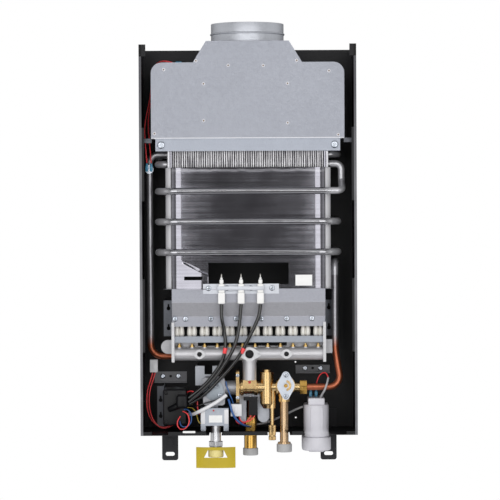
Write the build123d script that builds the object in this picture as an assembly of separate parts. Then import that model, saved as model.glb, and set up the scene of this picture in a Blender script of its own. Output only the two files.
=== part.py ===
from build123d import *
import math
import os

# Wall-hung instantaneous gas water heater with its front cover taken off.
# Millimetres. X runs right, Y into the wall, Z up. A depth d counts forward from the wall, so Y is -d.
# The origin lies on the wall, midway between the two lower wall-screw slots.

# Case: a folded steel tray with a separate bottom plate
CASE_W = 350.0
CASE_D = 150.0
CASE_H = 630.0
CASE_DROP = 44.0
SHEET = 1.0
RETURN_W = 4.0
HOOK_W = 8.0
HOOK_H = 118.0
HOOK_LOW_Z = 178.5
HOOK_HIGH_Z = 422.0
POST_W = 11.0
POST_H = 19.0
LIP_H = 5.0
LIP_SPANS = ((-130.6, -69.5), (-42.5, 28.5), (69.0, 87.0))
CORNER_LIP_W = 14.0
PIPE_ROOM = 1.5
BATTERY_ROOM = 0.3
WIRE_HOLE_R = 1.3
WIRE_HOLES = ((77.8, 153.0), (77.9, 60.0))

# Wall brackets under the case
TAB_X = 132.5
TAB_W = 27.0
TAB_T = 2.0
TAB_DROP = 10.6
TAB_CORNER_R = 4.0
TONGUE_H = 30.0
JOGGLE_H = 4.0
SLOT_L = 15.0
SLOT_W = 6.5
RIB_W = 9.5
RIB_L = 18.0
RIB_T = 1.2
RIB_Z = 18.75

# Flue hood and collar
HOOD_SIDE_ROOM = 19.0
HOOD_SHOULDER_W = 176.0
HOOD_NECK_W = 134.0
HOOD_BOTTOM = 523.0
HOOD_BODY_H = 122.5
HOOD_NECK_H = 34.5
HOOD_CORNER_R = 17.5
HOOD_BACK = 11.0
HOOD_DEPTH = 128.0
HOOD_T = 0.8
FLUE_R = 59.5
FLUE_T = 0.8
FLUE_H = 31.0
FLUE_FLANGE_W = 3.0
BEAD_Z = 14.0
BEAD_R = 1.6
BAFFLE_W = 200.0
BAFFLE_LOW = 62.0
BAFFLE_RISE = 30.0
SKIRT_END_ROOM = 7.0
SKIRT_H = 19.5
SKIRT_T = 1.0
SKIRT_INSET = 1.0
SKIRT_LEDGE = 6.0
EAR_DEPTH = 36.0
EAR_LIP_H = 6.0

# Heat exchanger
SHELL_SIDE_ROOM = 40.0
SHELL_BACK = 18.0
SHELL_DEPTH = 114.0
SHELL_R = 25.0
SHELL_T = 0.8
SHELL_BOTTOM = 280.0
SHELL_H = 196.0
RIM_W = 4.0
RIM_H = 2.0
WINDOW_SIDE = 70.0
WINDOW_H = 35.0
WINDOW_UP = 7.0
PEEP_SIDE = 45.5
PEEP_W = 29.0
PEEP_H = 6.0
PEEP_UP = 14.0
FIN_END_ROOM = 6.5
FIN_PITCH = 3.6
FIN_T = 0.4
FIN_DEPTH = 100.0
FIN_DROP = 1.5
END_PLATE_INSET = 6.0
TUBE_R = 5.5
TUBE_WALL = 0.8
LOW_ROW_UP = 6.0
ROW_RISE = 16.0
ROW_STEP = 30.0
BEND_R = 14.5
TUBE_FIT = 0.05
STUB_L = 2.5
COIL_GAP = 0.5
COIL_SIDE_GAP = 5.5
COIL_START_UP = 42.0
COIL_UP = 59.0
COIL_PITCH = 49.5
COIL_TURNS = 3
LINK_OUT = 17.0
LINK_R = 10.0
COIL_START_BEND_R = 11.0
COIL_SAMPLES = 400

# Water pipes
PIPE_WALL = 1.0
HOT_PIPE_OUT = 26.0
HOT_RUN_Z = 168.0
HOT_BEND_R = 20.0
RISER_OUT = 16.0
RISER_BEND_R = 18.0
RISER_FORWARD = 20.0
RISER_KINK_UP = 60.0

# Limit thermostat on the hot pipe
STAT_Z = 474.0
STAT_R = 7.0
STAT_H = 6.0
STAT_CLIP_H = 12.0
STAT_CLIP_T = 1.0
STAT_ROOM = 0.6

# Burner
BOX_INSET = 11.0
BOX_BACK = 22.0
BOX_BOTTOM = 222.0
PLATE_T = 0.8
STRIP_H = 16.4
SLOPE_H = 23.0
UPPER_H = 22.0
STRIP_D = 124.0
UPPER_D = 136.0
BAR_END_ROOM = 0.5
BAR_PITCH = 20.5
BAR_W = 11.0
BAR_H = 30.0
BAR_BACK = 26.0
BAR_FRONT_GAP = 0.3
LOBE_R = 4.0
LOBE_X = 3.2
LOBE_H = 16.0
LOBE_NECK_H = 3.4
LOBE_BORE_R = 2.6
RAIL_H = 9.9
RAIL_T = 0.8
RAIL_BACK = 103.0
JET_R = 5.0
MANIFOLD_D = 114.0
MANIFOLD_Z = 173.6
MANIFOLD_R = 10.5
MANIFOLD_BORE_R = 7.5
ARM_INSET = 3.5
ARM_T = 4.5
ARM_BOTTOM = 161.0
ARM_FRONT = 130.0
ARM_TAB_H = 7.0
BOSS_OUT = 13.0
BOSS_FROM_ARMS = (40.5, 59.5)
BOSS_W = 20.0
BOSS_H = 15.5
BOSS_END_R = 3.0
BOSS_BORE_R = 4.0
BOSS_BORE_L = 4.5
PORT_X = 1.0
PORT_W = 38.0
PORT_H = 23.0
PORT_END_R = 4.0
PORT_BORE_R = 7.0
PORT_BOLT_X = 15.0
PORT_BOLT_R = 1.6
PORT_BOLT_L = 4.0
NOZZLE_PAD_R = 4.5
NOZZLE_PAD_UP = 0.5
NOZZLE_R = 3.6
NOZZLE_H = 3.2
NOZZLE_TIP_R = 1.9
NOZZLE_TIP_H = 2.6
STRAP_T = 1.2
STRAP_GAP = 0.3
STRAP_OUT_LEFT = 19.0
STRAP_OUT_RIGHT = 12.0
STRAP_BOTTOM = 173.5
STRAP_H = 22.5
STRAP_CUT_LEFT = 41.0
STRAP_CUT_RIGHT = 62.0
STRAP_CUT_H = 10.0
BRACKET_W = 16.0
BRACKET_H = 59.0
BRACKET_Z = 200.0
BRACKET_D = 60.0
BRACKET_T = 1.2
BRACKET_HOLES = (0.22, 0.78)
KEYHOLE_R = 3.2
KEYHOLE_SLOT_W = 3.0
KEYHOLE_SLOT_L = 7.0

# Ignition
EL_PLATE_X0 = -73.5
EL_PLATE_X1 = 49.0
EL_PLATE_Z = 272.0
EL_PLATE_H = 16.0
EL_PLATE_T = 1.0
CLAMP_X0 = -51.0
CLAMP_X1 = 26.0
CLAMP_H = 7.4
CLAMP_T = 0.8
CLAMP_DROP = 3.0
CERAMIC_XS = (-43.6, -12.0, 19.2)
CERAMIC_BOTTOM = 256.0
CERAMIC_STEPS = ((11.5, 18.0), (9.5, 14.0), (6.5, 7.5), (4.0, 3.0))
CERAMIC_DEPTH = 9.0
PIN_R = 0.8
PIN_UP = 4.5
PIN_BACK = 24.0
PIN_BEND_R = 3.0
LEAD_R = 3.0
WIRE_GAP = 0.8
CABLE_GAP = 1.2
SLEEVE_GAP = 3.0
LEAD_GAP = 2.2
THIN_R = 1.2
CABLE_R = 1.8
SLEEVE_R = 3.0

# Gas side
VALVE_D = 104.0
VALVE_Z = 118.0
GAS_BODY_X = -57.0
GAS_BODY_W = 35.5
GAS_BODY_BACK = 78.0
GAS_BODY_Z0 = 90.0
GAS_BODY_H = 45.0
GAS_BODY_R = 5.0
GAS_BODY_SKIN = 0.5
NECK_R = 11.5
COVER_W = 31.0
COVER_H = 32.0
COVER_T = 2.0
COVER_R = 14.0
COVER_TILT = 18.0
COVER_Z = 114.5
SPINDLE_X = -52.5
SPINDLE_Z = 123.0
SPINDLE_R = 3.0
SPINDLE_L = 14.0
SPINDLE_OUT = 4.0
SPINDLE_SLOT_W = 1.2
RUN_FIT = 0.05
SOL_X = -56.0
SOL_W = 45.0
SOL_BACK = 86.0
SOL_DEPTH = 38.0
SOL_Z0 = 57.5
SOL_CAP_T = 1.5
SOL_TOP_GAP = 4.0
EAR_W = 8.0
EAR_H = 8.5
EAR_T = 2.0
PLUNGER_R = 4.0
PLUNGER_L = 20.0
PLUNGER_TRAVEL = 4.0
GAS_X = -54.6
GAS_D = 105.0
GAS_PIPE_R = 8.5
GAS_PIPE_WALL = 2.0
GAS_NUT_AF = 22.0
GAS_NUT_Z = 22.7
GAS_NUT_H = 8.0
GAS_END_Z = 7.5
CAP_R = 12.5
CAP_FLOOR = 1.6
GAS_CAP_Z = 5.0
GAS_CAP_H = 13.0
TAG_W = 64.0
TAG_Z0 = -12.0
TAG_H = 34.0
TAG_T = 0.5
TAG_BOW_R = 90.0
TAG_GAP = 0.3
TAG_HOLE_TOP = 26.0
TAG_HOLE_BOTTOM = 38.0
TAG_HOLE_H = 12.0
MOUNT_X0 = -88.0
MOUNT_X1 = -50.0
MOUNT_Z0 = 120.0
MOUNT_H = 32.0
MOUNT_T = 1.5
MOUNT_GAP_X0 = -73.0
MOUNT_GAP_X1 = -60.0
MOUNT_GAP_H = 14.0
FEED_R = 11.0
FEED_WALL = 2.0
FEED_LEDGE = 1.0
FEED_TOP = 160.0
FEED_BOTTOM = 131.0

# Water side
FLANGE_X = -21.0
FLANGE_T = 5.0
FLANGE_Z0 = 95.0
FLANGE_H = 52.0
FLANGE_DEPTH = 38.0
BARREL_R = 10.5
STANDPIPE_X = 29.0
STANDPIPE_R = 11.0
STANDPIPE_Z0 = 92.0
STANDPIPE_H = 51.0
STANDPIPE_CAP_R = 6.5
STANDPIPE_CAP_H = 4.0
ROD_R = 3.0
ROD_L = 26.0
ROD_TRAVEL = 5.0
FLOW_X = 59.8
FLOW_Z = 121.8
FLOW_R = 15.0
FLOW_BACK = 86.0
FLOW_FRONT = 118.0
FLOW_PLATE_W = 28.0
FLOW_PLATE_H = 46.0
FLOW_PLATE_END_R = 6.0
FLOW_PLATE_T = 2.5
FLOW_SPINDLE_R = 3.0
FLOW_SPINDLE_L = 14.0
FLOW_SPINDLE_OUT = 5.0
CRESCENT_R = 7.0
CRESCENT_W = 4.0
NUT_X = 82.6
NUT_L = 11.7
NUT_AF = 22.0
COLD_Z = 118.5
SPIGOT_R = 8.0
COLD_X = 57.0
COLD_PIPE_R = 7.0
COLD_BOSS_R = 9.5
COLD_BOSS_BOTTOM = 95.0
THREAD_R = 10.48
COLD_END_Z = 14.8
COLD_THREAD_L = 14.0
COLD_CAP_Z = 12.7
COLD_CAP_H = 13.3
HOT_X = 2.0
HOT_D = 70.0
TEE_W = 20.0
TEE_H = 22.5
HOT_END_Z = 6.6
HOT_HEX_AF = 24.0
HOT_HEX_H = 7.0
HOT_PORT_R = 7.0
HOT_PORT_BORE_R = 2.0
HOT_PORT_L = 5.0
HOT_PORT_UP = 8.0
HOT_CAP_Z = 4.5
HOT_CAP_H = 11.8
DRAIN_X = 37.5
DRAIN_STEM_R = 3.2
DRAIN_KNOB_R = 6.0
DRAIN_KNOB_Z = 32.0
DRAIN_KNOB_H = 25.0
DRAIN_BOSS_Z = 84.0
DRAIN_BOSS_R = 6.0
DRAIN_INSERT = 7.0
SWITCH_X0 = -9.0
SWITCH_X1 = 14.0
SWITCH_LOW_X0 = -0.5
SWITCH_Z0 = 73.0
SWITCH_MID_Z = 97.0
SWITCH_TOP = 102.5
SWITCH_DEPTH = 13.0
BUTTON_X = 2.0
BUTTON_R = 1.5
BUTTON_L = 7.0
BUTTON_INSERT = 3.5
BUTTON_TRAVEL = 1.3
HANGER_T = 1.4
HANGER_X0 = -15.7
HANGER_X1 = 33.0
HANGER_LEG_A = 11.0
HANGER_LEG_B = 19.0
HANGER_Z0 = 60.0
HANGER_BRIDGE_Z = 98.0
HANGER_TOP = 122.0

# Electrics
CTRL_SIDE_ROOM = 35.0
CTRL_W = 38.0
CTRL_BACK = 30.0
CTRL_FRONT = 110.0
CTRL_Z0 = 57.0
CTRL_H = 58.0
BOOT_W = 18.0
BOOT_PAST = 2.0
BOOT_Z0 = 86.0
BOOT_H = 22.0
BOOT_OUT = 18.0
CHANNEL_W = 11.0
CHANNEL_D = 70.0
CHANNEL_T = 1.2
CHANNEL_Z0 = 52.5
CHANNEL_H = 66.0
CHANNEL_HOLES = (0.25, 0.65)
ANGLE_T = 1.2
ANGLE_OUT = 15.0
ANGLE_LEFT_W = 54.0
ANGLE_LEFT_ROOM = 17.0
ANGLE_LEFT_Z = 120.0
ANGLE_LEFT_H = 18.0
ANGLE_RIGHT_W = 57.0
ANGLE_RIGHT_ROOM = 40.0
ANGLE_RIGHT_Z = 135.0
ANGLE_RIGHT_H = 13.0
ANGLE_HOLE_R = 2.2
ANGLE_HOLE_STEP = 13.0
CELL_R = 16.6
CELL_L = 61.5
CELL_NUB_R = 4.5
CELL_NUB_H = 1.5
CELL_ROOM = 1.2
BAT_WALL = 2.5
BAT_SIDE_ROOM = 15.5
BAT_BACK = 38.0
BAT_Z0 = 36.4
BAT_TOP = 89.0
BAT_CREST_W = 27.0
BAT_CREST_H = 11.0
BAT_CREST_DEPTH = 60.0
COVER_Z0 = 14.5
COVER_OUT = 3.2
COVER_STEP_W = 24.5
COVER_STEP_H = 3.9
TERMINAL_W = 5.0
TERMINAL_DEPTH = 8.0
TERMINAL_H = 13.0
TERMINAL_STEPS = (-8.8, 0.2)
TERMINAL_D = 76.0
PLUG_X0 = -30.0
PLUG_X1 = -12.0
PLUG_Z0 = 72.0
PLUG_H = 20.0
PLUG_D0 = 108.0
PLUG_DEPTH = 10.0
SIDE_PLUG_ROOM = 12.0
SIDE_PLUG_W = 13.0
SIDE_PLUG_D0 = 56.0
SIDE_PLUG_DEPTH = 12.0
SIDE_PLUG_Z0 = 141.0
SIDE_PLUG_H = 21.0
HOOD_PLUG_ROOM = 34.0
HOOD_PLUG_W = 17.0
HOOD_PLUG_D0 = 70.0
HOOD_PLUG_DEPTH = 20.0
HOOD_PLUG_H = 6.5

# Fasteners
SCREW_R = 2.0
HEAD_R = 3.4
HEAD_H = 2.2
RIVET_R = 1.2
RIVET_HEAD_R = 2.4
RIVET_HEAD_H = 0.9
SKIRT_SCREW_IN = 9.0
SKIRT_SCREW_UP = 9.5
STRIP_END_SCREW = 4.5
STRIP_SCREW_UP = 12.5
EL_SCREW_XS = (-64.5, 38.0)
CLAMP_SCREW_XS = (-35.0, 4.0)
RIVETS = (
    (-135.0, 634.0), (-31.0, 640.5), (25.5, 640.0), (131.5, 631.0),
    (-71.0, 611.0), (64.5, 611.0), (-71.0, 551.5), (64.5, 547.5),
    (-83.0, 648.0), (79.5, 648.0), (-150.5, 531.0), (146.0, 528.0),
)

# Levels and depths that several pieces share
FLOOR = CASE_DROP + SHEET
CASE_TOP = CASE_DROP + CASE_H
WALL_X = CASE_W / 2 - SHEET
HOOD_W = CASE_W - 2 * HOOD_SIDE_ROOM
SKIRT_W = HOOD_W - 2 * SKIRT_END_ROOM
SKIRT_SCREW_X = SKIRT_W / 2 - SKIRT_SCREW_IN
SHELL_W = CASE_W - 2 * SHELL_SIDE_ROOM
WINDOW_W = SHELL_W - 2 * WINDOW_SIDE
PEEP_X = PEEP_SIDE - SHELL_W / 2
END_PLATE_X = SHELL_W / 2 - END_PLATE_INSET
FIN_COUNT = int(2 * (END_PLATE_X - FIN_END_ROOM) / FIN_PITCH)
LINK_X = SHELL_W / 2 + LINK_OUT
HOT_PIPE_X = -SHELL_W / 2 - HOT_PIPE_OUT
RISER_X = SHELL_W / 2 + RISER_OUT
BOX_W = SHELL_W - 2 * BOX_INSET
BAR_COUNT = int((BOX_W - 2 * BAR_END_ROOM) / BAR_PITCH)
ARM_X = BOX_W / 2 - ARM_INSET
BOSS_XS = (BOSS_FROM_ARMS[0] - ARM_X, ARM_X - BOSS_FROM_ARMS[1])
STRAP_LEFT = -BOX_W / 2 - STRAP_OUT_LEFT
STRAP_RIGHT = BOX_W / 2 + STRAP_OUT_RIGHT
STRAP_CUT_X0 = STRAP_CUT_LEFT - BOX_W / 2
STRAP_CUT_X1 = BOX_W / 2 - STRAP_CUT_RIGHT
STRIP_STEPS = range(1 - BAR_COUNT // 2, BAR_COUNT // 2, 2)
STRIP_SCREW_XS = [STRIP_END_SCREW - BOX_W / 2] + [step * BAR_PITCH for step in STRIP_STEPS]
CTRL_X0 = CTRL_SIDE_ROOM - CASE_W / 2
CTRL_X1 = CTRL_X0 + CTRL_W
BOOT_X1 = CTRL_X1 + BOOT_PAST
BOOT_X0 = BOOT_X1 - BOOT_W
SIDE_PLUG_X0 = SIDE_PLUG_ROOM - CASE_W / 2
HOOD_PLUG_X0 = HOOD_PLUG_ROOM - HOOD_W / 2
ANGLE_LEFT_X = ANGLE_LEFT_ROOM - CASE_W / 2
ANGLE_RIGHT_X = CASE_W / 2 - ANGLE_RIGHT_ROOM - ANGLE_RIGHT_W
HOOD_SHOULDER = HOOD_BOTTOM + HOOD_BODY_H
HOOD_TOP = HOOD_SHOULDER + HOOD_NECK_H
HOOD_FRONT = HOOD_BACK + HOOD_DEPTH
FLUE_D = (HOOD_BACK + HOOD_FRONT) / 2
SKIRT_TOP = HOOD_BOTTOM
SHELL_FRONT = SHELL_BACK + SHELL_DEPTH
SHELL_TOP = SHELL_BOTTOM + SHELL_H
SHELL_MID = (SHELL_BACK + SHELL_FRONT) / 2
END_PLATE_TOP = SKIRT_TOP - SKIRT_T
LOW_ROW = SHELL_TOP + LOW_ROW_UP
HIGH_ROW = LOW_ROW + ROW_RISE
COIL_X = SHELL_W / 2 + COIL_SIDE_GAP + TUBE_R
RISER_TOP_X = SHELL_W / 2 + COIL_GAP + TUBE_R
COIL_FRONT = SHELL_FRONT + COIL_GAP + TUBE_R
COIL_BACK = SHELL_BACK - COIL_GAP - TUBE_R
COIL_BEND_R = SHELL_R + COIL_GAP + TUBE_R
COIL_START = SHELL_BOTTOM + COIL_START_UP
COIL_Z = SHELL_BOTTOM + COIL_UP
RISER_TOP_D = SHELL_MID + RISER_FORWARD
STRIP_BOTTOM = SHELL_BOTTOM - STRIP_H - SLOPE_H - UPPER_H
STRIP_TOP = STRIP_BOTTOM + STRIP_H
SLOPE_TOP = STRIP_TOP + SLOPE_H
LOBE_BOTTOM = BOX_BOTTOM - LOBE_H - LOBE_NECK_H
NOZZLE_Z = MANIFOLD_Z + MANIFOLD_R + NOZZLE_PAD_UP
STRAP_D = MANIFOLD_D - MANIFOLD_R - STRAP_GAP - STRAP_T
EL_PLATE_D = UPPER_D + PLATE_T
CLAMP_D = EL_PLATE_D + EL_PLATE_T
CERAMIC_BACK = CLAMP_D + CLAMP_T
CERAMIC_D = CERAMIC_BACK + CERAMIC_DEPTH / 2
CERAMIC_TOP = CERAMIC_BOTTOM + sum(step[1] for step in CERAMIC_STEPS)
GAS_BODY_X1 = GAS_BODY_X + GAS_BODY_W / 2
GAS_BODY_FRONT = VALVE_D + NECK_R + GAS_BODY_SKIN
COVER_FRONT = GAS_BODY_FRONT + COVER_T
FLANGE_X1 = FLANGE_X + FLANGE_T
NUT_X1 = NUT_X + NUT_L
BAT_X = NUT_X1 + BAT_SIDE_ROOM
TERMINAL_XS = [BAT_X + step for step in TERMINAL_STEPS]
HOT_PORT_FRONT = HOT_D + TEE_W / 2 + HOT_PORT_L
BAT_W = 2 * (CELL_R + CELL_ROOM + BAT_WALL)
CELL_STEP = 2 * CELL_R + CELL_ROOM
BAT_D = BAT_BACK + BAT_W / 2 + CELL_STEP / 2
BAT_L = BAT_W + CELL_STEP
BAT_CREST_TOP = BAT_TOP + BAT_CREST_H
HANGER_D = VALVE_D - max(BARREL_R, STANDPIPE_R) - 2 * RUN_FIT
BAR_XS = [(i - (BAR_COUNT - 1) / 2) * BAR_PITCH for i in range(BAR_COUNT)]


def block(x0, x1, d0, d1, z0, z1):
    """A box between two values on each axis."""
    return Pos((x0 + x1) / 2, -(d0 + d1) / 2, (z0 + z1) / 2) * Box(x1 - x0, d1 - d0, z1 - z0)


def rod_x(x0, x1, d, z, r):
    """A round bar that runs left to right."""
    return Pos((x0 + x1) / 2, -d, z) * Rot(0, 90, 0) * Cylinder(r, x1 - x0)


def rod_d(x, d0, d1, z, r):
    """A round bar that runs from the wall side to the front."""
    return Pos(x, -(d0 + d1) / 2, z) * Rot(90, 0, 0) * Cylinder(r, d1 - d0)


def rod_z(x, d, z0, z1, r):
    """An upright round bar."""
    return Pos(x, -d, (z0 + z1) / 2) * Cylinder(r, z1 - z0)


def forward(outline, d0, d1):
    """Push an outline drawn in X and Z forward from one depth to another."""
    face = Plane(origin=(0, -d0, 0), x_dir=(1, 0, 0), z_dir=(0, -1, 0)) * outline
    return extrude(face, amount=d1 - d0, dir=(0, -1, 0))


def across(outline, x0, x1):
    """Push an outline drawn in d and Z sideways from one X to another."""
    face = Plane(origin=(x0, 0, 0), x_dir=(0, -1, 0), z_dir=(-1, 0, 0)) * outline
    return extrude(face, amount=x1 - x0, dir=(1, 0, 0))


def upright(outline, x, d, z0, z1):
    """Push an outline drawn round its own middle upward."""
    return extrude(Pos(x, -d, z0) * outline, amount=z1 - z0, dir=(0, 0, 1))


def pipe(points, radii, outer, wall):
    """A bent tube through points given as X, d and Z."""
    path = FilletPolyline(*[(x, -d, z) for x, d, z in points], radius=radii)
    ring = Circle(outer) - Circle(outer - wall)
    return sweep(Plane(origin=path @ 0, z_dir=path % 0) * ring, path=path), path


def least_gap(path, r):
    """Smallest clear space between a wound tube and itself, measured on points along its middle."""
    spots = [path @ (i / COIL_SAMPLES) for i in range(COIL_SAMPLES + 1)]
    apart = int(COIL_SAMPLES * 2 * math.pi * r / path.length) + 1
    least = min((a - b).length for i, a in enumerate(spots) for b in spots[i + apart:])
    return least - 2 * r


def wire(name, points, r):
    """A limp wire: each bend is as wide as the runs beside it allow."""
    spots = [Vector(x, -d, z) for x, d, z in points]
    radii = []
    for before, here, after in zip(spots, spots[1:], spots[2:]):
        half_turn = math.radians((here - before).get_angle(after - here)) / 2
        shorter = min((here - before).length, (after - here).length)
        radii.append(0.45 * shorter / math.tan(half_turn))
    path = FilletPolyline(*spots, radius=radii)
    solid = sweep(Plane(origin=path @ 0, z_dir=path % 0) * Circle(r), path=path)
    share = solid.volume / (math.pi * r * r * path.length)
    print(name, "least bend", round(min(radii), 1), "volume share", round(share, 4))
    return solid


def lozenge(width, length, end_r):
    """A flange outline: a round middle that narrows to two round ends above and below."""
    mid_r = width / 2
    reach = length / 2 - end_r
    tilt = math.asin((mid_r - end_r) / reach)
    run, rise = math.cos(tilt), math.sin(tilt)
    waist = [(mid_r * run, mid_r * rise), (end_r * run, reach + end_r * rise)]
    corner = waist + [(-x, z) for x, z in reversed(waist)]
    outline = Circle(mid_r) + Polygon(*corner, *[(-x, -z) for x, z in corner])
    for end in (-reach, reach):
        outline += Pos(0, end) * Circle(end_r)
    return outline


def keyhole():
    """A screw hole with a narrow slot above it."""
    return Circle(KEYHOLE_R) + Pos(0, KEYHOLE_SLOT_L / 2) * Rectangle(KEYHOLE_SLOT_W, KEYHOLE_SLOT_L)


def screw(x, d, z, grip):
    """A pan-head screw whose head lies on a face that looks forward."""
    head = fillet(rod_d(x, d, d + HEAD_H, z, HEAD_R).edges().sort_by(Axis.Y)[0], HEAD_H / 2)
    return head + rod_d(x, d - grip, d, z, SCREW_R)


def drill(solid, places, d0, d1, r):
    """Holes that run straight back through a sheet."""
    for x, z in places:
        solid -= rod_d(x, d0, d1, z, r)
    return solid


def skirt_screw_places():
    return [(side * SKIRT_SCREW_X, SKIRT_TOP - SKIRT_T - SKIRT_SCREW_UP) for side in (-1, 1)]


def strip_screw_places():
    return [(x, STRIP_BOTTOM + STRIP_SCREW_UP) for x in STRIP_SCREW_XS]


def plate_screw_places():
    return [(x, EL_PLATE_Z + EL_PLATE_H - CLAMP_H / 2 - HEAD_R) for x in EL_SCREW_XS]


def clamp_z():
    """The clamp strip lies midway up the electrode plate."""
    return EL_PLATE_Z + EL_PLATE_H - CLAMP_H - CLAMP_DROP


def clamp_screw_places():
    return [(x, clamp_z() + CLAMP_H / 2) for x in CLAMP_SCREW_XS]


def chassis_tray():
    """Back and side walls with narrow returns along their front edges."""
    tray = block(-CASE_W / 2, CASE_W / 2, 0, SHEET, FLOOR, CASE_TOP)
    for side in (-1, 1):
        wall = block(WALL_X, CASE_W / 2, 0, CASE_D, FLOOR, CASE_TOP)
        wall += front_return(RETURN_W, FLOOR, CASE_TOP)
        wall += front_return(HOOK_W, HOOK_LOW_Z, HOOK_LOW_Z + HOOK_H)
        wall += front_return(HOOK_W, HOOK_HIGH_Z, HOOK_HIGH_Z + HOOK_H)
        wall += front_return(POST_W, CASE_TOP - POST_H, CASE_TOP)
        tray += wall if side == 1 else mirror(wall, about=Plane.YZ)
    return drill(tray, WIRE_HOLES, 0, SHEET, WIRE_HOLE_R)


def front_return(width, z0, z1):
    """A stretch of the folded edge on the right-hand wall."""
    return block(CASE_W / 2 - width, CASE_W / 2, CASE_D - SHEET, CASE_D, z0, z1)


def bottom_plate():
    """Floor of the case with a broken front lip and openings for the pipes and the battery box."""
    plate = block(-CASE_W / 2, CASE_W / 2, 0, CASE_D, CASE_DROP, FLOOR)
    inner = CASE_W / 2 - RETURN_W
    corners = ((-inner, CORNER_LIP_W - inner), (inner - CORNER_LIP_W, inner))
    for x0, x1 in LIP_SPANS + corners:
        plate += block(x0, x1, CASE_D - SHEET, CASE_D, FLOOR, FLOOR + LIP_H)
    gas = GAS_PIPE_R + PIPE_ROOM
    plate -= block(GAS_X - gas, GAS_X + gas, GAS_D - gas, CASE_D, CASE_DROP, FLOOR)
    cold = COLD_PIPE_R + PIPE_ROOM
    drain = DRAIN_KNOB_R + PIPE_ROOM
    plate -= block(DRAIN_X - drain, COLD_X + cold, VALVE_D - cold, CASE_D, CASE_DROP, FLOOR)
    plate -= upright(stadium(BATTERY_ROOM), BAT_X, BAT_D, CASE_DROP, FLOOR)
    plate -= block(BAT_X - BAT_W / 2, BAT_X + BAT_W / 2, BAT_D, CASE_D, CASE_DROP, FLOOR)
    plate -= rod_z(HOT_X, HOT_D, CASE_DROP, FLOOR, THREAD_R + TUBE_FIT)
    for side in (-1, 1):
        half = TAB_W / 2 + TAB_T / 4
        plate -= block(side * TAB_X - half, side * TAB_X + half, 0, SHEET + TAB_T, CASE_DROP, FLOOR)
    return plate


def wall_brackets():
    """Two joggled straps: slotted below the case, with a tongue behind the floor inside it."""
    return [wall_bracket(side * TAB_X) for side in (-1, 1)]


def wall_bracket(x):
    face = Pos(x, (CASE_DROP - TAB_DROP) / 2) * Rectangle(TAB_W, CASE_DROP + TAB_DROP)
    face = fillet(face.vertices().sort_by(Axis.Y)[:2], TAB_CORNER_R)
    strap = forward(face, 0, TAB_T)
    strap += block(x - TAB_W / 2, x + TAB_W / 2, SHEET, SHEET + TAB_T, CASE_DROP - JOGGLE_H, FLOOR + TONGUE_H)
    strap += forward(Pos(x, RIB_Z) * SlotOverall(RIB_L, RIB_W, rotation=90), TAB_T, TAB_T + RIB_T)
    return strap - forward(Pos(x, 0) * SlotOverall(SLOT_L, SLOT_W), 0, TAB_T)


def hood_outline():
    """Front view of the hood: wide body, sloping neck."""
    half = HOOD_W / 2
    right = ((half, HOOD_BOTTOM), (half, HOOD_SHOULDER), (HOOD_SHOULDER_W / 2, HOOD_SHOULDER),
             (HOOD_NECK_W / 2, HOOD_TOP))
    left = tuple((-x, z) for x, z in reversed(right))
    outline = Polygon(*right, *left)
    corners = [v for v in outline.vertices() if abs(abs(v.X) - half) < 0.1 and v.Y > HOOD_BOTTOM + 1]
    return fillet(corners, HOOD_CORNER_R)


def flue_hood_shell():
    """Back, sides and shoulders of the hood, open below and at the front."""
    shell = forward(hood_outline(), HOOD_BACK, HOOD_FRONT - HOOD_T)
    inside = offset(hood_outline(), -HOOD_T)
    shell -= forward(inside, HOOD_BACK + HOOD_T, HOOD_FRONT)
    mouth = HOOD_W / 2 - HOOD_T
    shell -= block(-mouth, mouth, HOOD_BACK + HOOD_T, HOOD_FRONT, HOOD_BOTTOM, HOOD_BOTTOM + 2 * HOOD_T)
    return shell - rod_z(0, FLUE_D, HOOD_TOP - HOOD_T, HOOD_TOP, FLUE_R - FLUE_T)


def flue_hood_front():
    """Riveted front plate of the hood."""
    plate = forward(hood_outline(), HOOD_FRONT - HOOD_T, HOOD_FRONT)
    return drill(plate, RIVETS, HOOD_FRONT - HOOD_T, HOOD_FRONT, RIVET_R)


def flue_collar():
    """Round spigot for the flue pipe with a stop bead and a foot flange."""
    tube = rod_z(0, FLUE_D, HOOD_TOP, HOOD_TOP + FLUE_H, FLUE_R)
    tube += Pos(0, -FLUE_D, HOOD_TOP + BEAD_Z) * Torus(FLUE_R, BEAD_R)
    tube += rod_z(0, FLUE_D, HOOD_TOP, HOOD_TOP + FLUE_T, FLUE_R + FLUE_FLANGE_W)
    return tube - rod_z(0, FLUE_D, HOOD_TOP, HOOD_TOP + FLUE_H, FLUE_R - FLUE_T)


def draft_baffle():
    """Roof-shaped plate inside the hood that spreads the flue gas."""
    half = BAFFLE_W / 2
    low = HOOD_BOTTOM + BAFFLE_LOW
    roof = Polygon((-half, low), (0, low + BAFFLE_RISE), (half, low), (half, low + HOOD_T),
                   (0, low + BAFFLE_RISE + HOOD_T), (-half, low + HOOD_T))
    return forward(roof, HOOD_BACK + HOOD_T, HOOD_FRONT - HOOD_T)


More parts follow.
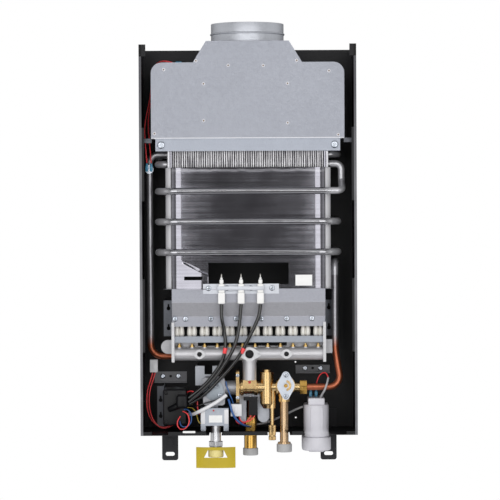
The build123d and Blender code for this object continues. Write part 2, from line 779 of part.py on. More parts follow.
def hood_skirt():
    """Frame between hood and exchanger with front and back strips and ears to the side walls."""
    z0 = SKIRT_TOP - SKIRT_T
    frame = block(-HOOD_W / 2, HOOD_W / 2, HOOD_BACK, HOOD_FRONT, z0, SKIRT_TOP)
    open_x = END_PLATE_X - SKIRT_T
    frame -= block(-open_x, open_x, SHELL_BACK + SKIRT_LEDGE, SHELL_FRONT - SKIRT_LEDGE, z0, SKIRT_TOP)
    front = HOOD_FRONT - SKIRT_INSET
    frame += block(-SKIRT_W / 2, SKIRT_W / 2, front - SKIRT_T, front, z0 - SKIRT_H, z0)
    back = HOOD_BACK + SKIRT_INSET
    frame += block(-SKIRT_W / 2, SKIRT_W / 2, back, back + SKIRT_T, z0 - SKIRT_H, z0)
    for side in (-1, 1):
        ear = block(HOOD_W / 2 - SKIRT_T, WALL_X, front - EAR_DEPTH, front, z0, SKIRT_TOP)
        ear += block(HOOD_W / 2 - SKIRT_T, WALL_X, front - SKIRT_T, front, z0 - EAR_LIP_H, z0)
        frame += ear if side == 1 else mirror(ear, about=Plane.YZ)
    return drill(frame, skirt_screw_places(), front - SKIRT_T, front, SCREW_R)


def tube_spots():
    """Depth and height of the five fin tubes in flow order."""
    low = [(SHELL_MID + step * ROW_STEP, LOW_ROW) for step in (1, 0, -1)]
    high = [(SHELL_MID + step * ROW_STEP, HIGH_ROW) for step in (-0.5, 0.5)]
    return low + high


def riser_way(z0, z1):
    """Notch in a rim where the cold riser passes."""
    return rod_z(RISER_TOP_X, RISER_TOP_D, z0, z1, TUBE_R + COIL_GAP - TUBE_FIT)


def heat_exchanger_shell():
    """Sheet jacket: front, back and two rounded sides, with a foot rim, a top flange and two tube plates."""
    outer = RectangleRounded(SHELL_W, SHELL_DEPTH, SHELL_R)
    inner = RectangleRounded(SHELL_W - 2 * SHELL_T, SHELL_DEPTH - 2 * SHELL_T, SHELL_R - SHELL_T)
    shell = upright(outer - inner, 0, SHELL_MID, SHELL_BOTTOM, SHELL_TOP)
    foot = RectangleRounded(SHELL_W + 2 * RIM_W, SHELL_DEPTH + 2 * RIM_W, SHELL_R + RIM_W)
    shell += upright(foot - inner, 0, SHELL_MID, SHELL_BOTTOM, SHELL_BOTTOM + RIM_H)
    shell -= riser_way(SHELL_BOTTOM, SHELL_BOTTOM + RIM_H)
    opening = Rectangle(FIN_COUNT * FIN_PITCH, FIN_DEPTH)
    shell += upright(outer - opening, 0, SHELL_MID, SHELL_TOP - SHELL_T, SHELL_TOP)
    low = SHELL_BOTTOM + WINDOW_UP
    front = SHELL_FRONT - SHELL_T
    shell -= block(-WINDOW_W / 2, WINDOW_W / 2, front, SHELL_FRONT, low, low + WINDOW_H)
    peep = SHELL_BOTTOM + PEEP_UP
    shell -= block(PEEP_X - PEEP_W / 2, PEEP_X + PEEP_W / 2, front, SHELL_FRONT, peep, peep + PEEP_H)
    seam = SHELL_W / 2 - SHELL_R
    reach = SHELL_W / 2 + RIM_W
    rim = RIM_W + SHEET
    parts = []
    for x0, x1 in ((-reach, -seam), (-seam, seam), (seam, reach)):
        parts.append(shell & block(x0, x1, SHELL_BACK - rim, SHELL_FRONT + rim, SHELL_BOTTOM, SHELL_TOP))
    for side in (-1, 1):
        near = side * END_PLATE_X
        far = side * (END_PLATE_X + SHEET)
        plate = block(min(near, far), max(near, far), SHELL_BACK, SHELL_FRONT, SHELL_TOP, END_PLATE_TOP)
        for d, z in tube_spots():
            plate -= rod_x(min(near, far), max(near, far), d, z, TUBE_R + TUBE_FIT)
        parts.append(plate)
    return parts


def heat_exchanger_fins():
    """A stack of thin upright plates threaded on the fin tubes."""
    top = END_PLATE_TOP - FIN_DROP
    blank = Pos(SHELL_MID, (SHELL_TOP + top) / 2) * Rectangle(FIN_DEPTH, top - SHELL_TOP)
    for d, z in tube_spots():
        blank -= Pos(d, z) * Circle(TUBE_R + TUBE_FIT)
    fin = across(blank, 0, FIN_T)
    return [Pos((i - (FIN_COUNT - 1) / 2) * FIN_PITCH - FIN_T / 2, 0, 0) * fin for i in range(FIN_COUNT)]


def fin_tubes():
    """One tube that passes five times through the fins, with return bends outside the tube plates."""
    far = END_PLATE_X + SHEET + STUB_L + BEND_R
    spots = tube_spots()
    points = [(END_PLATE_X + SHEET + STUB_L, *spots[0])]
    for i, (here, there) in enumerate(zip(spots, spots[1:])):
        side = -1 if i % 2 == 0 else 1
        points += [(side * far, *here), (side * far, *there)]
    points.append((-END_PLATE_X - SHEET - STUB_L, *spots[-1]))
    climb = math.hypot(ROW_RISE, ROW_STEP / 2) / 2 - (ROW_STEP / 2 - BEND_R)
    radii = [BEND_R, BEND_R, BEND_R, BEND_R, climb, climb, BEND_R, BEND_R]
    return pipe(points, radii, TUBE_R, TUBE_WALL)[0]


def heating_coil():
    """Tube wound round the jacket: level front runs that climb along the back, then a link to the fins."""
    points = [(RISER_TOP_X, RISER_TOP_D, COIL_START - COIL_START_UP / 2),
              (RISER_TOP_X, RISER_TOP_D, COIL_START)]
    before = COIL_START
    for turn in range(COIL_TURNS):
        level = COIL_Z + turn * COIL_PITCH
        points += [(COIL_X, COIL_BACK, before), (-COIL_X, COIL_BACK, level)]
        points += [(-COIL_X, COIL_FRONT, level)]
        if turn < COIL_TURNS - 1:
            points += [(COIL_X, COIL_FRONT, level)]
        before = level
    link_d, link_z = tube_spots()[0]
    stub = END_PLATE_X + SHEET + STUB_L
    points += [(LINK_X, COIL_FRONT, before), (LINK_X, link_d, before + (link_z - before) / 3)]
    points += [(LINK_X, link_d, link_z), (stub, link_d, link_z)]
    radii = [COIL_START_BEND_R] + [COIL_BEND_R] * (len(points) - 6) + [LINK_R] * 3
    coil, path = pipe(points, radii, TUBE_R, TUBE_WALL)
    print("coil's least gap to itself", round(least_gap(path, TUBE_R), 2))
    return coil


def cold_riser():
    """Copper pipe from the union nut to the foot of the coil."""
    foot = COIL_START - COIL_START_UP / 2
    points = [(NUT_X1, VALVE_D, COLD_Z), (RISER_X, VALVE_D, COLD_Z),
              (RISER_TOP_X, RISER_TOP_D, COLD_Z + RISER_KINK_UP), (RISER_TOP_X, RISER_TOP_D, foot)]
    return pipe(points, [RISER_BEND_R, RISER_BEND_R * 4], TUBE_R, TUBE_WALL)[0]


def hot_downpipe():
    """Copper pipe from the last fin tube down the left side and across to the hot outlet."""
    d, z = tube_spots()[-1]
    points = [(-END_PLATE_X - SHEET - STUB_L, d, z), (HOT_PIPE_X, d, z), (HOT_PIPE_X, HOT_D, HOT_RUN_Z),
              (HOT_X, HOT_D, HOT_RUN_Z), (HOT_X, HOT_D, FLOOR + TEE_H)]
    return pipe(points, [BEND_R, HOT_BEND_R, HOT_BEND_R], TUBE_R, TUBE_WALL)[0]


def stat_depth():
    """Depth of the leaning hot pipe at the thermostat."""
    d, z = tube_spots()[-1]
    share = (STAT_Z - HOT_RUN_Z) / (z - HOT_RUN_Z)
    return HOT_D + share * (d - HOT_D)


def stat_bore():
    """The clip leaves room for the lean of the pipe."""
    return TUBE_R + STAT_ROOM


def stat_face():
    """Front of the thermostat can."""
    return stat_depth() + stat_bore() + STAT_CLIP_T / 2 + STAT_H


def limit_thermostat():
    """Thermostat can on a spring clip round the hot pipe."""
    d = stat_depth()
    low = STAT_Z - STAT_CLIP_H / 2
    high = STAT_Z + STAT_CLIP_H / 2
    bore = rod_z(HOT_PIPE_X, d, low, high, stat_bore())
    clip = rod_z(HOT_PIPE_X, d, low, high, stat_bore() + STAT_CLIP_T)
    can = rod_d(HOT_PIPE_X, stat_face() - STAT_H, stat_face(), STAT_Z, STAT_R)
    return clip + can - bore


def burner_box():
    """Back and sides of the burner chamber with a flange that carries the exchanger."""
    half = BOX_W / 2
    side = Polygon((BOX_BACK, BOX_BOTTOM), (STRIP_D, BOX_BOTTOM), (STRIP_D, STRIP_TOP), (UPPER_D, SLOPE_TOP),
                   (UPPER_D, SHELL_BOTTOM), (BOX_BACK, SHELL_BOTTOM))
    box = across(side, -half, half) - across(side, SHEET - half, half - SHEET)
    box += block(-half, half, BOX_BACK, BOX_BACK + SHEET, BOX_BOTTOM, SHELL_BOTTOM)
    brim = RectangleRounded(SHELL_W + 2 * RIM_W, SHELL_DEPTH + 2 * RIM_W, SHELL_R + RIM_W)
    brim -= Rectangle(BOX_W - 2 * SHEET, 2 * (SHELL_MID - BOX_BACK - SHEET))
    box += upright(brim, 0, SHELL_MID, SHELL_BOTTOM - SHEET, SHELL_BOTTOM)
    return box - riser_way(SHELL_BOTTOM - SHEET, SHELL_BOTTOM)


def burner_front_plate():
    """Bent front plate of the burner: upper strip, slope, lower screw strip."""
    near = ((STRIP_D, STRIP_BOTTOM), (STRIP_D, STRIP_TOP), (UPPER_D, SLOPE_TOP), (UPPER_D, SHELL_BOTTOM))
    far = tuple((d + PLATE_T, z) for d, z in reversed(near))
    plate = across(Polygon(*near, *far), -BOX_W / 2, BOX_W / 2)
    plate = drill(plate, strip_screw_places(), STRIP_D, STRIP_D + PLATE_T, SCREW_R)
    return plate


def burner_bars():
    """Flat burner bars, each with a two-lobed mouth that opens down over its nozzle."""
    bars = []
    front = STRIP_D - BAR_FRONT_GAP
    for x in BAR_XS:
        bar = block(x - BAR_W / 2, x + BAR_W / 2, BAR_BACK, front, BOX_BOTTOM, BOX_BOTTOM + BAR_H)
        for lobe in (-LOBE_X, LOBE_X):
            bar += rod_z(x + lobe, MANIFOLD_D, LOBE_BOTTOM, BOX_BOTTOM, LOBE_R)
        bar -= rod_z(x, MANIFOLD_D, LOBE_BOTTOM, BOX_BOTTOM - LOBE_R, LOBE_BORE_R)
        bars.append(bar)
    return bars


def burner_lower_rail():
    """Channel under the burner mouths with a hole for each jet."""
    rail = block(-ARM_X, ARM_X, RAIL_BACK, STRIP_D, LOBE_BOTTOM - RAIL_T, LOBE_BOTTOM)
    rail += block(-ARM_X, ARM_X, STRIP_D - RAIL_T, STRIP_D, LOBE_BOTTOM - RAIL_H, LOBE_BOTTOM)
    for x in BAR_XS:
        rail -= rod_z(x, MANIFOLD_D, LOBE_BOTTOM - RAIL_T, LOBE_BOTTOM, JET_R)
    return rail


def burner_strap():
    """Long plate behind the manifold with a cut-out in its upper edge and a rounded left end."""
    mid = STRAP_BOTTOM + STRAP_H / 2
    r = STRAP_H / 2
    strap = block(STRAP_LEFT + r, STRAP_RIGHT, STRAP_D, STRAP_D + STRAP_T,
                  STRAP_BOTTOM, STRAP_BOTTOM + STRAP_H)
    strap += rod_d(STRAP_LEFT + r, STRAP_D, STRAP_D + STRAP_T, mid, r)
    top = STRAP_BOTTOM + STRAP_H
    return strap - block(STRAP_CUT_X0, STRAP_CUT_X1, STRAP_D, STRAP_D + STRAP_T, top - STRAP_CUT_H, top)


def burner_brackets():
    """Two brackets from the back wall to the sides of the burner box."""
    inner = BOX_W / 2
    outer = inner + BRACKET_W
    z1 = BRACKET_Z + BRACKET_H
    bracket = block(inner, outer, BRACKET_D - BRACKET_T, BRACKET_D, BRACKET_Z, z1)
    bracket += block(outer - BRACKET_T, outer, SHEET, BRACKET_D, BRACKET_Z, z1)
    for share in BRACKET_HOLES:
        hole = Pos((inner + outer) / 2, BRACKET_Z + share * BRACKET_H) * keyhole()
        bracket -= forward(hole, BRACKET_D - BRACKET_T, BRACKET_D)
    return [mirror(bracket, about=Plane.YZ), bracket]


def gas_manifold():
    """Cast gas rail with nozzle pads, front bosses, a two-bolt port and two end arms."""
    rail = rod_x(-ARM_X, ARM_X, MANIFOLD_D, MANIFOLD_Z, MANIFOLD_R)
    front = MANIFOLD_D + BOSS_OUT
    for x in BAR_XS:
        rail += rod_z(x, MANIFOLD_D, MANIFOLD_Z, NOZZLE_Z, NOZZLE_PAD_R)
    for x in BOSS_XS:
        boss = lozenge(BOSS_H, BOSS_W, BOSS_END_R)
        rail += forward(Pos(x, MANIFOLD_Z) * Rot(0, 0, 90) * boss, MANIFOLD_D, front)
    port = lozenge(PORT_H, PORT_W, PORT_END_R)
    rail += forward(Pos(PORT_X, MANIFOLD_Z) * Rot(0, 0, 90) * port, MANIFOLD_D, front)
    rail += rod_z(PORT_X, MANIFOLD_D, FEED_TOP, MANIFOLD_Z - MANIFOLD_R / 2, FEED_R + FEED_LEDGE)
    rail -= rod_x(-ARM_X, ARM_X, MANIFOLD_D, MANIFOLD_Z, MANIFOLD_BORE_R)
    rail -= rod_z(PORT_X, MANIFOLD_D, FEED_TOP, MANIFOLD_Z, FEED_R - FEED_WALL)
    for x in BOSS_XS:
        rail -= rod_d(x, front - BOSS_BORE_L, front, MANIFOLD_Z, BOSS_BORE_R)
    rail -= rod_d(PORT_X, MANIFOLD_D, front, MANIFOLD_Z, PORT_BORE_R)
    for side in (-1, 1):
        rail -= rod_d(PORT_X + side * PORT_BOLT_X, front - PORT_BOLT_L, front, MANIFOLD_Z, PORT_BOLT_R)
        rail += manifold_arm(side)
    return rail


def manifold_arm(side):
    """End arm that closes the rail and is clamped to the burner's screw strip."""
    back = STRAP_D + STRAP_T
    arm = block(ARM_X, ARM_X + ARM_T, back, ARM_FRONT, ARM_BOTTOM, STRIP_BOTTOM)
    arm += block(ARM_X, ARM_X + ARM_T, STRIP_D + PLATE_T, ARM_FRONT, STRIP_BOTTOM, STRIP_BOTTOM + ARM_TAB_H)
    return arm if side == 1 else mirror(arm, about=Plane.YZ)


def gas_nozzles():
    """Brass jets on the manifold, one under each burner mouth."""
    jets = []
    for x in BAR_XS:
        jet = upright(RegularPolygon(NOZZLE_R, 6), x, MANIFOLD_D, NOZZLE_Z, NOZZLE_Z + NOZZLE_H)
        top = NOZZLE_Z + NOZZLE_H + NOZZLE_TIP_H
        jet += rod_z(x, MANIFOLD_D, NOZZLE_Z + NOZZLE_H, top, NOZZLE_TIP_R)
        jets.append(jet - rod_z(x, MANIFOLD_D, top - NOZZLE_TIP_H, top, NOZZLE_TIP_R / 2))
    return jets


def gas_feed_tube():
    """Short wide tube from the gas valve up to the manifold."""
    tube = rod_z(PORT_X, MANIFOLD_D, FEED_BOTTOM, FEED_TOP, FEED_R)
    return tube - rod_z(PORT_X, MANIFOLD_D, FEED_BOTTOM, FEED_TOP, FEED_R - FEED_WALL)


def electrode_plate():
    """Carrier plate and clamp strip for the electrodes."""
    plate = block(EL_PLATE_X0, EL_PLATE_X1, EL_PLATE_D, CLAMP_D, EL_PLATE_Z, EL_PLATE_Z + EL_PLATE_H)
    plate = drill(plate, plate_screw_places(), EL_PLATE_D, CLAMP_D, SCREW_R)
    clamp = block(CLAMP_X0, CLAMP_X1, CLAMP_D, CERAMIC_BACK, clamp_z(), clamp_z() + CLAMP_H)
    return [plate, drill(clamp, clamp_screw_places(), CLAMP_D, CERAMIC_BACK, SCREW_R)]


def electrode_ceramics():
    """Stepped white insulators, widest at the bottom."""
    bodies = []
    for x in CERAMIC_XS:
        body = None
        z = CERAMIC_BOTTOM
        for width, height in CERAMIC_STEPS:
            depth = min(CERAMIC_DEPTH, width)
            step = block(x - width / 2, x + width / 2, CERAMIC_D - depth / 2, CERAMIC_D + depth / 2,
                         z, z + height)
            body = step if body is None else body + step
            z += height
        bodies.append(body)
    return bodies


def electrode_pins():
    """Wire tips that bend back through the window over the burner."""
    pins = []
    for x in CERAMIC_XS:
        top = CERAMIC_TOP + PIN_UP
        points = [(x, CERAMIC_D, CERAMIC_TOP), (x, CERAMIC_D, top), (x, CERAMIC_D - PIN_BACK, top)]
        path = FilletPolyline(*[(px, -d, z) for px, d, z in points], radius=PIN_BEND_R)
        pins.append(sweep(Plane(origin=path @ 0, z_dir=path % 0) * Circle(PIN_R), path=path))
    return pins


def ignition_leads():
    """Black high-voltage leads from the electrodes to the boot on the control box."""
    foot = CERAMIC_BOTTOM - WIRE_GAP
    d = CERAMIC_D
    left, middle, right = CERAMIC_XS
    end = BOOT_X1 + LEAD_GAP
    routes = (
        ((left, d, foot), (left - 1, d - 1, 236), (left + 4, d - 6, 214), (-37, 134, 188), (-42, 131, 163),
         (-59, 128, 138), (-76, 125, 119), (end, 121, 103)),
        ((middle, d, foot), (middle - 2, d - 1, 232), (-17, d - 2, 208), (-23, 140, 187), (-34, 138, 166),
         (-51, 135, 141), (-71, 132, 119), (end, 124, 96.5)),
        ((right, d, foot), (right - 1, d - 1, 240), (10, d - 3, 220), (-1, 138, 198), (-10, 134, 180),
         (-23, 131, 160), (-43, 128, 138), (-66, 126, 114), (-83, 120, 100), (end, 116, 92)),
    )
    return [wire("ignition lead", route, LEAD_R) for route in routes]


def gas_valve_body():
    """Cast gas valve: rounded block, neck towards the water side."""
    x0 = GAS_BODY_X - GAS_BODY_W / 2
    top = GAS_BODY_Z0 + GAS_BODY_H
    body = block(x0, GAS_BODY_X1, GAS_BODY_BACK, GAS_BODY_FRONT, GAS_BODY_Z0, top)
    body = fillet(body.edges().filter_by(Axis.Y), GAS_BODY_R)
    body += rod_x(GAS_BODY_X1 - GAS_BODY_R, FLANGE_X, VALVE_D, VALVE_Z, NECK_R)
    body += block(SOL_X - GAS_BODY_R, SOL_X + GAS_BODY_R, SOL_BACK, SOL_BACK + SOL_DEPTH / 2, solenoid_top(),
                  GAS_BODY_Z0 + GAS_BODY_R)
    hole = GAS_BODY_FRONT - (SPINDLE_L - SPINDLE_OUT - COVER_T) - RUN_FIT
    return body - rod_d(SPINDLE_X, hole, GAS_BODY_FRONT, SPINDLE_Z, SPINDLE_R + RUN_FIT)


def solenoid_top():
    """The solenoid reaches close under the valve body."""
    return GAS_BODY_Z0 - SOL_TOP_GAP


def gas_valve_cover():
    """Tilted round-cornered cover plate on the front of the gas valve."""
    plate = Pos(GAS_BODY_X, COVER_Z) * RectangleRounded(COVER_W, COVER_H, COVER_R, rotation=COVER_TILT)
    plate = forward(plate, GAS_BODY_FRONT, COVER_FRONT)
    return plate - rod_d(SPINDLE_X, GAS_BODY_FRONT, COVER_FRONT, SPINDLE_Z, SPINDLE_R + RUN_FIT)


def gas_spindle():
    """Slotted adjusting spindle."""
    end = COVER_FRONT + SPINDLE_OUT
    pin = rod_d(SPINDLE_X, end - SPINDLE_L, end, SPINDLE_Z, SPINDLE_R)
    half = SPINDLE_SLOT_W / 2
    return pin - block(SPINDLE_X - SPINDLE_R, SPINDLE_X + SPINDLE_R, end - SPINDLE_SLOT_W, end,
                       SPINDLE_Z - half, SPINDLE_Z + half)


def solenoid_case():
    """Steel case of the safety solenoid with two ears and a bore for its plunger."""
    x0 = SOL_X - SOL_W / 2
    x1 = SOL_X + SOL_W / 2
    front = SOL_BACK + SOL_DEPTH
    case = block(x0, x1, SOL_BACK, front, SOL_Z0, solenoid_top())
    for x in (x0, x1 - EAR_W):
        case += block(x, x + EAR_W, front - EAR_T, front, SOL_Z0 - EAR_H, SOL_Z0)
    low = SOL_Z0 + SOL_CAP_T
    high = low + PLUNGER_L + PLUNGER_TRAVEL + SOL_CAP_T
    return case - rod_z(SOL_X, solenoid_mid(), low, high, PLUNGER_R + RUN_FIT)


def solenoid_mid():
    return SOL_BACK + SOL_DEPTH / 2


def solenoid_plunger():
    """Sliding core inside the solenoid."""
    low = SOL_Z0 + SOL_CAP_T + RUN_FIT
    return rod_z(SOL_X, solenoid_mid(), low, low + PLUNGER_L, PLUNGER_R)


def gas_inlet_pipe():
    """Inlet pipe with its nut; the male end sits in the yellow cap."""
    pipe_r = GAS_PIPE_R
    inlet = rod_z(GAS_X, GAS_D, GAS_NUT_Z, SOL_Z0, pipe_r)
    inlet += upright(RegularPolygon(GAS_NUT_AF / 2, 6, major_radius=False), GAS_X, GAS_D, GAS_NUT_Z,
                     GAS_NUT_Z + GAS_NUT_H)
    inlet += rod_z(GAS_X, GAS_D, GAS_END_Z, GAS_NUT_Z, THREAD_R)
    return inlet - rod_z(GAS_X, GAS_D, GAS_END_Z, SOL_Z0, pipe_r - GAS_PIPE_WALL)


def cup(x, d, z, height):
    """Push-on cap over a threaded end."""
    cap = rod_z(x, d, z, z + height, CAP_R)
    return cap - rod_z(x, d, z + CAP_FLOOR, z + height, THREAD_R + RUN_FIT)


def gas_cap():
    return cup(GAS_X, GAS_D, GAS_CAP_Z, GAS_CAP_H)


def gas_tag():
    """Bowed card in front of the gas cap with a window in its upper half."""
    front = GAS_D + CAP_R + TAG_GAP
    hub = front - TAG_BOW_R
    top = TAG_Z0 + TAG_H
    card = rod_z(GAS_X, hub, TAG_Z0, top, TAG_BOW_R + TAG_T) - rod_z(GAS_X, hub, TAG_Z0, top, TAG_BOW_R)
    card &= block(GAS_X - TAG_W / 2, GAS_X + TAG_W / 2, hub, front + TAG_T, TAG_Z0, top)
    low = GAS_CAP_Z
    hole = Polygon((-TAG_HOLE_BOTTOM / 2, low), (TAG_HOLE_BOTTOM / 2, low), (TAG_HOLE_TOP / 2, low + TAG_HOLE_H),
                   (-TAG_HOLE_TOP / 2, low + TAG_HOLE_H))
    return card - forward(Pos(GAS_X, 0) * hole, hub, front + TAG_T)


def valve_mount():
    """Bent plate that carries the gas valve from the back wall."""
    top = MOUNT_Z0 + MOUNT_H
    plate = block(MOUNT_X0, MOUNT_X1, GAS_BODY_BACK - MOUNT_T, GAS_BODY_BACK, MOUNT_Z0, top)
    plate -= block(MOUNT_GAP_X0, MOUNT_GAP_X1, GAS_BODY_BACK - MOUNT_T, GAS_BODY_BACK, top - MOUNT_GAP_H, top)
    leg = block(MOUNT_X0, MOUNT_X0 + MOUNT_T, SHEET, GAS_BODY_BACK, MOUNT_Z0, top)
    return plate + leg


def valve_flange():
    """Brass plate between the gas side and the water side."""
    low = VALVE_D - FLANGE_DEPTH / 2
    plate = block(FLANGE_X, FLANGE_X1, low, low + FLANGE_DEPTH, FLANGE_Z0, FLANGE_Z0 + FLANGE_H)
    return fillet(plate.edges().filter_by(Axis.X), FLANGE_T)


def rod_room():
    """Length of the blind bore for the push rod, measured from the flange."""
    return ROD_L + ROD_TRAVEL + 2 * RUN_FIT


def water_valve_body():
    """Brass body: barrel, standpipe, flow chamber, inlet boss, drain boss and feed pad."""
    body = rod_x(FLANGE_X1, STANDPIPE_X, VALVE_D, VALVE_Z, BARREL_R)
    top = STANDPIPE_Z0 + STANDPIPE_H
    body += rod_z(STANDPIPE_X, VALVE_D, STANDPIPE_Z0, top, STANDPIPE_R)
    body += rod_z(STANDPIPE_X, VALVE_D, top, top + STANDPIPE_CAP_H, STANDPIPE_CAP_R)
    body += rod_x(STANDPIPE_X, NUT_X, VALVE_D, COLD_Z, SPIGOT_R)
    body += rod_d(FLOW_X, FLOW_BACK, FLOW_FRONT, FLOW_Z, FLOW_R)
    body += rod_z(COLD_X, VALVE_D, COLD_BOSS_BOTTOM, FLOW_Z, COLD_BOSS_R)
    body += rod_z(DRAIN_X, VALVE_D, DRAIN_BOSS_Z, VALVE_Z, DRAIN_BOSS_R)
    body += block(PORT_X - FEED_R, PORT_X + FEED_R, VALVE_D, MANIFOLD_D + FEED_R / 2, VALVE_Z, FEED_BOTTOM)
    body -= rod_x(FLANGE_X1, FLANGE_X1 + rod_room(), VALVE_D, VALVE_Z, ROD_R + RUN_FIT)
    hole = FLOW_FRONT - (FLOW_SPINDLE_L - FLOW_SPINDLE_OUT - FLOW_PLATE_T) - RUN_FIT
    body -= rod_d(FLOW_X, hole, FLOW_FRONT, FLOW_Z, FLOW_SPINDLE_R + RUN_FIT)
    stem = DRAIN_BOSS_Z + DRAIN_INSERT + RUN_FIT
    return body - rod_z(DRAIN_X, VALVE_D, DRAIN_BOSS_Z, stem, DRAIN_STEM_R + RUN_FIT)


def valve_push_rod():
    """Rod that the water pressure pushes towards the gas side."""
    x0 = FLANGE_X1 + RUN_FIT + ROD_TRAVEL
    return rod_x(x0, x0 + ROD_L, VALVE_D, VALVE_Z, ROD_R)


def flow_plate():
    """Lozenge plate over the flow chamber with a crescent beside its spindle."""
    front = FLOW_FRONT + FLOW_PLATE_T
    outline = lozenge(FLOW_PLATE_W, FLOW_PLATE_H, FLOW_PLATE_END_R)
    plate = forward(Pos(FLOW_X, FLOW_Z) * outline, FLOW_FRONT, front)
    ring = rod_d(FLOW_X, FLOW_FRONT, front, FLOW_Z, CRESCENT_R + CRESCENT_W / 2)
    ring -= rod_d(FLOW_X, FLOW_FRONT, front, FLOW_Z, CRESCENT_R - CRESCENT_W / 2)
    reach = CRESCENT_R + CRESCENT_W
    ring -= block(FLOW_X - reach, FLOW_X + 1, FLOW_FRONT, front, FLOW_Z - reach, FLOW_Z + reach)
    return plate - ring - rod_d(FLOW_X, FLOW_FRONT, front, FLOW_Z, FLOW_SPINDLE_R + RUN_FIT)


def flow_spindle():
    """Flow adjuster with a flat on its end."""
    end = FLOW_FRONT + FLOW_PLATE_T + FLOW_SPINDLE_OUT
    pin = rod_d(FLOW_X, end - FLOW_SPINDLE_L, end, FLOW_Z, FLOW_SPINDLE_R)
    flat = FLOW_SPINDLE_R / 3
    return pin - block(FLOW_X + flat, FLOW_X + FLOW_SPINDLE_R, end - FLOW_SPINDLE_OUT + 1, end,
                       FLOW_Z - FLOW_SPINDLE_R, FLOW_Z + FLOW_SPINDLE_R)


def union_nut():
    """Hexagon nut that holds the riser to the water valve."""
    hexagon = RegularPolygon(NUT_AF / 2, 6, major_radius=False)
    nut = across(Pos(VALVE_D, COLD_Z) * hexagon, NUT_X, NUT_X1)
    return nut - rod_x(NUT_X, NUT_X1, VALVE_D, COLD_Z, TUBE_R - TUBE_WALL)


def cold_inlet_pipe():
    """Straight inlet with a threaded end inside its cap."""
    inlet = rod_z(COLD_X, VALVE_D, COLD_END_Z, COLD_BOSS_BOTTOM, COLD_PIPE_R)
    inlet += rod_z(COLD_X, VALVE_D, COLD_END_Z, COLD_END_Z + COLD_THREAD_L, THREAD_R)
    return inlet - rod_z(COLD_X, VALVE_D, COLD_END_Z, COLD_BOSS_BOTTOM, COLD_PIPE_R - PIPE_WALL)


def cold_cap():
    return cup(COLD_X, VALVE_D, COLD_CAP_Z, COLD_CAP_H)


def hot_outlet():
    """Tee on the floor with a sensor port in front and a threaded outlet below."""
    half = TEE_W / 2
    tee = block(HOT_X - half, HOT_X + half, HOT_D - half, HOT_D + half, FLOOR, FLOOR + TEE_H)
    tee = fillet(tee.edges().filter_by(Axis.Z), half / 2)
    port = FLOOR + HOT_PORT_UP
    tee += rod_d(HOT_X, HOT_D, HOT_PORT_FRONT, port, HOT_PORT_R)
    tee += upright(RegularPolygon(HOT_HEX_AF / 2, 6, major_radius=False), HOT_X, HOT_D, CASE_DROP - HOT_HEX_H,
                   CASE_DROP)
    tee += rod_z(HOT_X, HOT_D, HOT_END_Z, FLOOR, THREAD_R)
    tee -= rod_z(HOT_X, HOT_D, HOT_END_Z, FLOOR + TEE_H, TUBE_R - TUBE_WALL)
    return tee - rod_d(HOT_X, HOT_D, HOT_PORT_FRONT, port, HOT_PORT_BORE_R)


def hot_cap():
    return cup(HOT_X, HOT_D, HOT_CAP_Z, HOT_CAP_H)


def drain_valve():
    """Drain screw with a long knurled grip below the case."""
    knob_top = DRAIN_KNOB_Z + DRAIN_KNOB_H
    drain = rod_z(DRAIN_X, VALVE_D, DRAIN_KNOB_Z, knob_top, DRAIN_KNOB_R)
    return drain + rod_z(DRAIN_X, VALVE_D, knob_top, DRAIN_BOSS_Z + DRAIN_INSERT, DRAIN_STEM_R)


def switch_hanger():
    """Plate with two rounded legs that carries the switch behind the valve barrel."""
    back = HANGER_D - HANGER_T
    plate = block(HANGER_X0, HANGER_X1, back, HANGER_D, HANGER_BRIDGE_Z, HANGER_TOP)
    for x0, x1 in ((HANGER_X0, HANGER_X0 + HANGER_LEG_A), (HANGER_X1 - HANGER_LEG_B, HANGER_X1)):
        r = (x1 - x0) / 2
        plate += block(x0, x1, back, HANGER_D, HANGER_Z0 + r, HANGER_BRIDGE_Z)
        plate += rod_d(x0 + r, back, HANGER_D, HANGER_Z0 + r, r)
    return plate


def microswitch():
    """Switch block on the hanger."""
    front = HANGER_D + SWITCH_DEPTH
    body = block(SWITCH_X0, SWITCH_X1, HANGER_D, front, SWITCH_MID_Z, SWITCH_TOP)
    body += block(SWITCH_LOW_X0, SWITCH_X1, HANGER_D, front, SWITCH_Z0, SWITCH_MID_Z)
    mid = HANGER_D + SWITCH_DEPTH / 2
    low = SWITCH_TOP - BUTTON_INSERT - 2 * RUN_FIT
    return body - rod_z(BUTTON_X, mid, low, SWITCH_TOP, BUTTON_R + RUN_FIT)


def microswitch_plunger():
    """Sprung button on top of the switch."""
    low = SWITCH_TOP - BUTTON_INSERT + BUTTON_TRAVEL
    mid = HANGER_D + SWITCH_DEPTH / 2
    return rod_z(BUTTON_X, mid, low, low + BUTTON_L - BUTTON_INSERT, BUTTON_R)


def control_box():
    """Black electronics box with a cable boot on its front."""
    box = block(CTRL_X0, CTRL_X1, CTRL_BACK, CTRL_FRONT, CTRL_Z0, CTRL_Z0 + CTRL_H)
    return box + block(BOOT_X0, BOOT_X1, CTRL_FRONT, CTRL_FRONT + BOOT_OUT, BOOT_Z0, BOOT_Z0 + BOOT_H)


